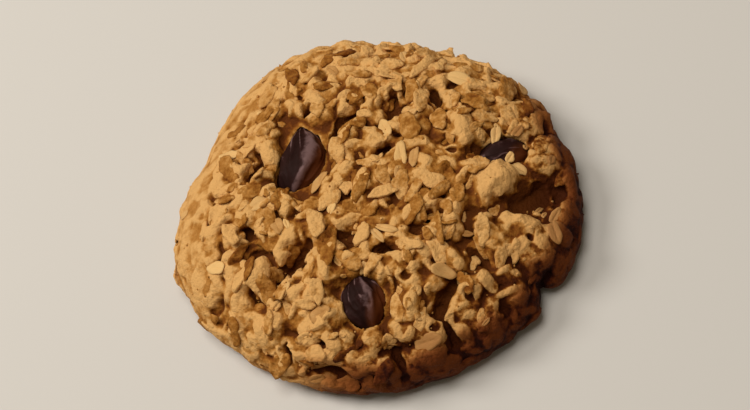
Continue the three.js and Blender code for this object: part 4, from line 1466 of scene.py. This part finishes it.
# What the tone of an oat is made of, how its lines run, and how far it takes the baked tint and painted
# shade
OAT_TONE_SHARE = 0.55
OAT_PATCH_SHARE = 0.5
OAT_LINE_SHARE = 0.3
OAT_LINES_ACROSS = 6.0
OAT_LINE_SCALE = 1.2
OAT_PATCH_SCALE = 420
OAT_BAKE_SHADE_SHARE = 0.3

# The specks on a raisin, how much its dust with painted highlight lightens it, and how that dust sets its
# roughness
RAISIN_SPECK_SCALE = 900
RAISIN_HIGHLIGHT_SHARE = 0.6
DUST_PLACES = (0.1, 0.7)
DUST_ROUGHNESS = (0.62, 0.34)


def browned_and_shaded(tree, color, bake_shade):
    """A colour darkened and reddened by baking and painted shade, where the share runs from 0 to 1."""
    stops = [(share, tuple(tint**share for tint in BAKE_SHADE_TINT)) for share in BAKE_SHADE_STEPS]
    return mixed(tree, "MULTIPLY", 1.0, color, ramp(tree, bake_shade, stops))


def add_bump(tree, shader, height, strength, distance):
    bump = add_node(tree, "ShaderNodeBump", {"Height": height, "Strength": strength, "Distance": distance})
    join(tree, bump.outputs["Normal"], shader.inputs["Normal"])


def crust_material():
    """Baked oat dough with a patchy tone: lighter on raised bits and darker in crevices as painted shade,
    with painted light on the lit side and painted shade, with some baking, on the far side.
    """
    material, tree, shader = new_material("crust", roughness=0.75, specular=0.1)
    noises = [noise(tree, scale, detail) for scale, detail, _ in CRUST_NOISES]
    shares = [share for _, _, share in CRUST_NOISES]
    spread = weighted(tree, (attribute(tree, "tone"), CRUST_TONE_SHARE), *zip(noises, shares))
    spread = math_node(tree, "SUBTRACT", spread, CRUST_TONE_MIDDLE)
    calm = math_node(tree, "MULTIPLY", attribute(tree, "calm"), CALM_SHARE)
    spread = math_node(tree, "MULTIPLY", spread, math_node(tree, "SUBTRACT", 1.0, calm))
    factor = math_node(tree, "ADD", attribute(tree, "rise"), CRUST_TONE_RISE)
    factor = stretched(tree, math_node(tree, "ADD", factor, spread), TAN_PLACE, LIVELINESS)
    # Painted shade: on the side away from the key light the tone's contrast grows, and the baked tint with
    # painted shade darkens the crevices, and the whole rim.
    bake_shade = attribute(tree, "bake_shade")
    contrast = math_node(tree, "ADD", 1.0, math_node(tree, "MULTIPLY", bake_shade, BAKE_SHADE_CONTRAST))
    factor = stretched(tree, factor, BAKE_SHADE_PIVOT, contrast)
    low = mapped(tree, factor, *LOW_TONES, *LOW_TINTS)
    low = math_node(tree, "MAXIMUM", low, attribute(tree, "rim_shade"))
    color = browned_and_shaded(tree, ramp(tree, factor, CRUST_RAMP), math_node(tree, "MULTIPLY", bake_shade, low))
    join(tree, color, shader.inputs["Base Color"])
    _, _, scraps, grain = noises
    place = add_node(tree, "ShaderNodeTexCoord").outputs["Object"]
    crumbs = add_node(tree, "ShaderNodeTexVoronoi", {"Vector": place, "Scale": CRUMB_SCALE})
    height = weighted(tree, (scraps, SCRAP_HEIGHT), (crumbs.outputs["Distance"], CRUMB_HEIGHT))
    add_bump(tree, shader, math_node(tree, "ADD", height, grain), strength=0.7, distance=0.0006)
    return material


def flake_material():
    """Rolled oats, pale with fine lines along them, browned by baking and painted shade at the foot and on
    the shaded side.
    """
    material, tree, shader = new_material("oats", roughness=0.68, specular=0.2)
    across = math_node(tree, "MULTIPLY", attribute(tree, "across"), OAT_LINES_ACROSS)
    place = add_node(tree, "ShaderNodeCombineXYZ", {"X": attribute(tree, "along"), "Y": across})
    inputs = {"Vector": place.outputs[0], "Scale": OAT_LINE_SCALE, "Detail": 3}
    lines = add_node(tree, "ShaderNodeTexNoise", inputs).outputs["Fac"]
    tone = (attribute(tree, "tone"), OAT_TONE_SHARE)
    patches = (noise(tree, OAT_PATCH_SCALE, 3), OAT_PATCH_SHARE)
    color = ramp(tree, weighted(tree, tone, patches, (lines, OAT_LINE_SHARE)), OAT_RAMP)
    color = browned_and_shaded(tree, color, math_node(tree, "MULTIPLY", attribute(tree, "bake_shade"), OAT_BAKE_SHADE_SHARE))
    join(tree, color, shader.inputs["Base Color"])
    add_bump(tree, shader, lines, strength=0.5, distance=0.0003)
    return material


def raisin_material():
    """Dark dried fruit skin with a dusty bloom and a painted highlight on its ridges, keel and streaks, and
    a painted glow on one flank.
    """
    material, tree, shader = new_material("raisin", roughness=0.4, specular=0.11)
    shader.inputs["Specular Tint"].default_value = (*RAISIN_SHEEN, 1)
    specks = noise(tree, RAISIN_SPECK_SCALE, 4)
    dust_highlight = attribute(tree, "bloom_highlight")
    bloom_highlight = math_node(tree, "MULTIPLY", attribute(tree, "ridge"), specks)
    bloom_highlight = math_node(tree, "ADD", bloom_highlight, math_node(tree, "MULTIPLY", dust_highlight, RAISIN_HIGHLIGHT_SHARE))
    color = ramp(tree, bloom_highlight, RAISIN_RAMP)
    color = mixed(tree, "MIX", attribute(tree, "glow_flank"), color, (*RAISIN_GLOW_FLANK, 1))
    join(tree, color, shader.inputs["Base Color"])
    join(tree, mapped(tree, dust_highlight, *DUST_PLACES, *DUST_ROUGHNESS), shader.inputs["Roughness"])
    add_bump(tree, shader, specks, strength=0.25, distance=0.0003)
    return material


def dress(piece, material):
    piece.data.materials.clear()
    piece.data.materials.append(material)
    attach(piece, "root")


# Camera: the photograph looks down from the side at turn -62, at 58 degrees
NEAR_TURN = -62
CAMERA_RISE = 58
CAMERA_AWAY = 0.36
PHOTO_WIDTH = 750
PIXEL = 0.0002
SENSOR = 36.0
TARGET = (0.00174, -0.00188, 0.006)
TARGET_PIXEL = (379, 214)
PHOTO_MIDDLE = (375, 205)

# Lights: name, turn and height in degrees, distance and size in metres, power, colour
LIGHTS = [
    ("key", 168, 48, 0.8, 0.36, 3.5, (1.0, 0.96, 0.9)),
    ("sky", 168, 86, 0.8, 0.5, 3.3, (1.0, 0.95, 0.88)),
]
WORLD_COLOR = (1.0, 0.84, 0.60)
WORLD_STRENGTH = 0.16
FLOOR_COLOR = (0.62, 0.60, 0.57)
FLOOR_SIZE = 4.0


def camera_turn():
    """Straight down with +Y up in the frame, then leant back towards the near side."""
    near = math.radians(NEAR_TURN)
    hinge = Vector((-math.sin(near), math.cos(near), 0))
    return Quaternion(hinge, math.radians(90 - CAMERA_RISE))


def add_camera():
    data = bpy.data.cameras.new("camera")
    data.sensor_width = SENSOR
    data.lens = SENSOR * CAMERA_AWAY / (PHOTO_WIDTH * PIXEL)
    data.shift_x = (PHOTO_MIDDLE[0] - TARGET_PIXEL[0]) / PHOTO_WIDTH
    data.shift_y = (TARGET_PIXEL[1] - PHOTO_MIDDLE[1]) / PHOTO_WIDTH
    data.clip_start = 0.01
    camera = new_object("camera", data)
    turn = camera_turn()
    camera.rotation_mode = "QUATERNION"
    camera.rotation_quaternion = turn
    camera.location = Vector(TARGET) + turn @ Vector((0, 0, CAMERA_AWAY))
    bpy.context.scene.camera = camera


def add_light(name, turn, rise, away, size, power, color):
    data = bpy.data.lights.new(name, "AREA")
    data.shape = "DISK"
    data.size = size
    data.energy = power
    data.color = color
    light = new_object(name, data)
    turn, rise = math.radians(turn), math.radians(rise)
    way = Vector((math.cos(turn) * math.cos(rise), math.sin(turn) * math.cos(rise), math.sin(rise)))
    light.location = way * away
    light.rotation_euler = way.to_track_quat("Z", "Y").to_euler()


def add_surroundings():
    bpy.ops.mesh.primitive_plane_add(size=FLOOR_SIZE)
    floor = bpy.context.object
    floor.name = "floor"
    material, _, shader = new_material("floor", roughness=0.9)
    shader.inputs["Base Color"].default_value = (*FLOOR_COLOR, 1)
    floor.data.materials.append(material)
    for row in LIGHTS:
        add_light(*row)
    world = bpy.data.worlds.new("studio")
    world.use_nodes = True
    background = world.node_tree.nodes["Background"]
    background.inputs["Color"].default_value = (*WORLD_COLOR, 1)
    background.inputs["Strength"].default_value = WORLD_STRENGTH
    bpy.context.scene.world = world
    bpy.context.scene.view_settings.view_transform = "Standard"


def main():
    clay = model_crust()
    crust = crust_piece(clay)
    dough = crust_material()
    for piece in (crust, coated_piece(clay), crumbs_piece(clay)):
        dress(piece, dough)
    dress(flakes_piece(clay), flake_material())
    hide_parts("cookie")
    skin = raisin_material()
    for node, centre, axes, half, _, folds in PLACED_RAISINS:
        raisin = raisin_piece(node, centre, axes, half, folds)
        dress(raisin, skin)
        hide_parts(node)
    add_surroundings()
    add_camera()


main()
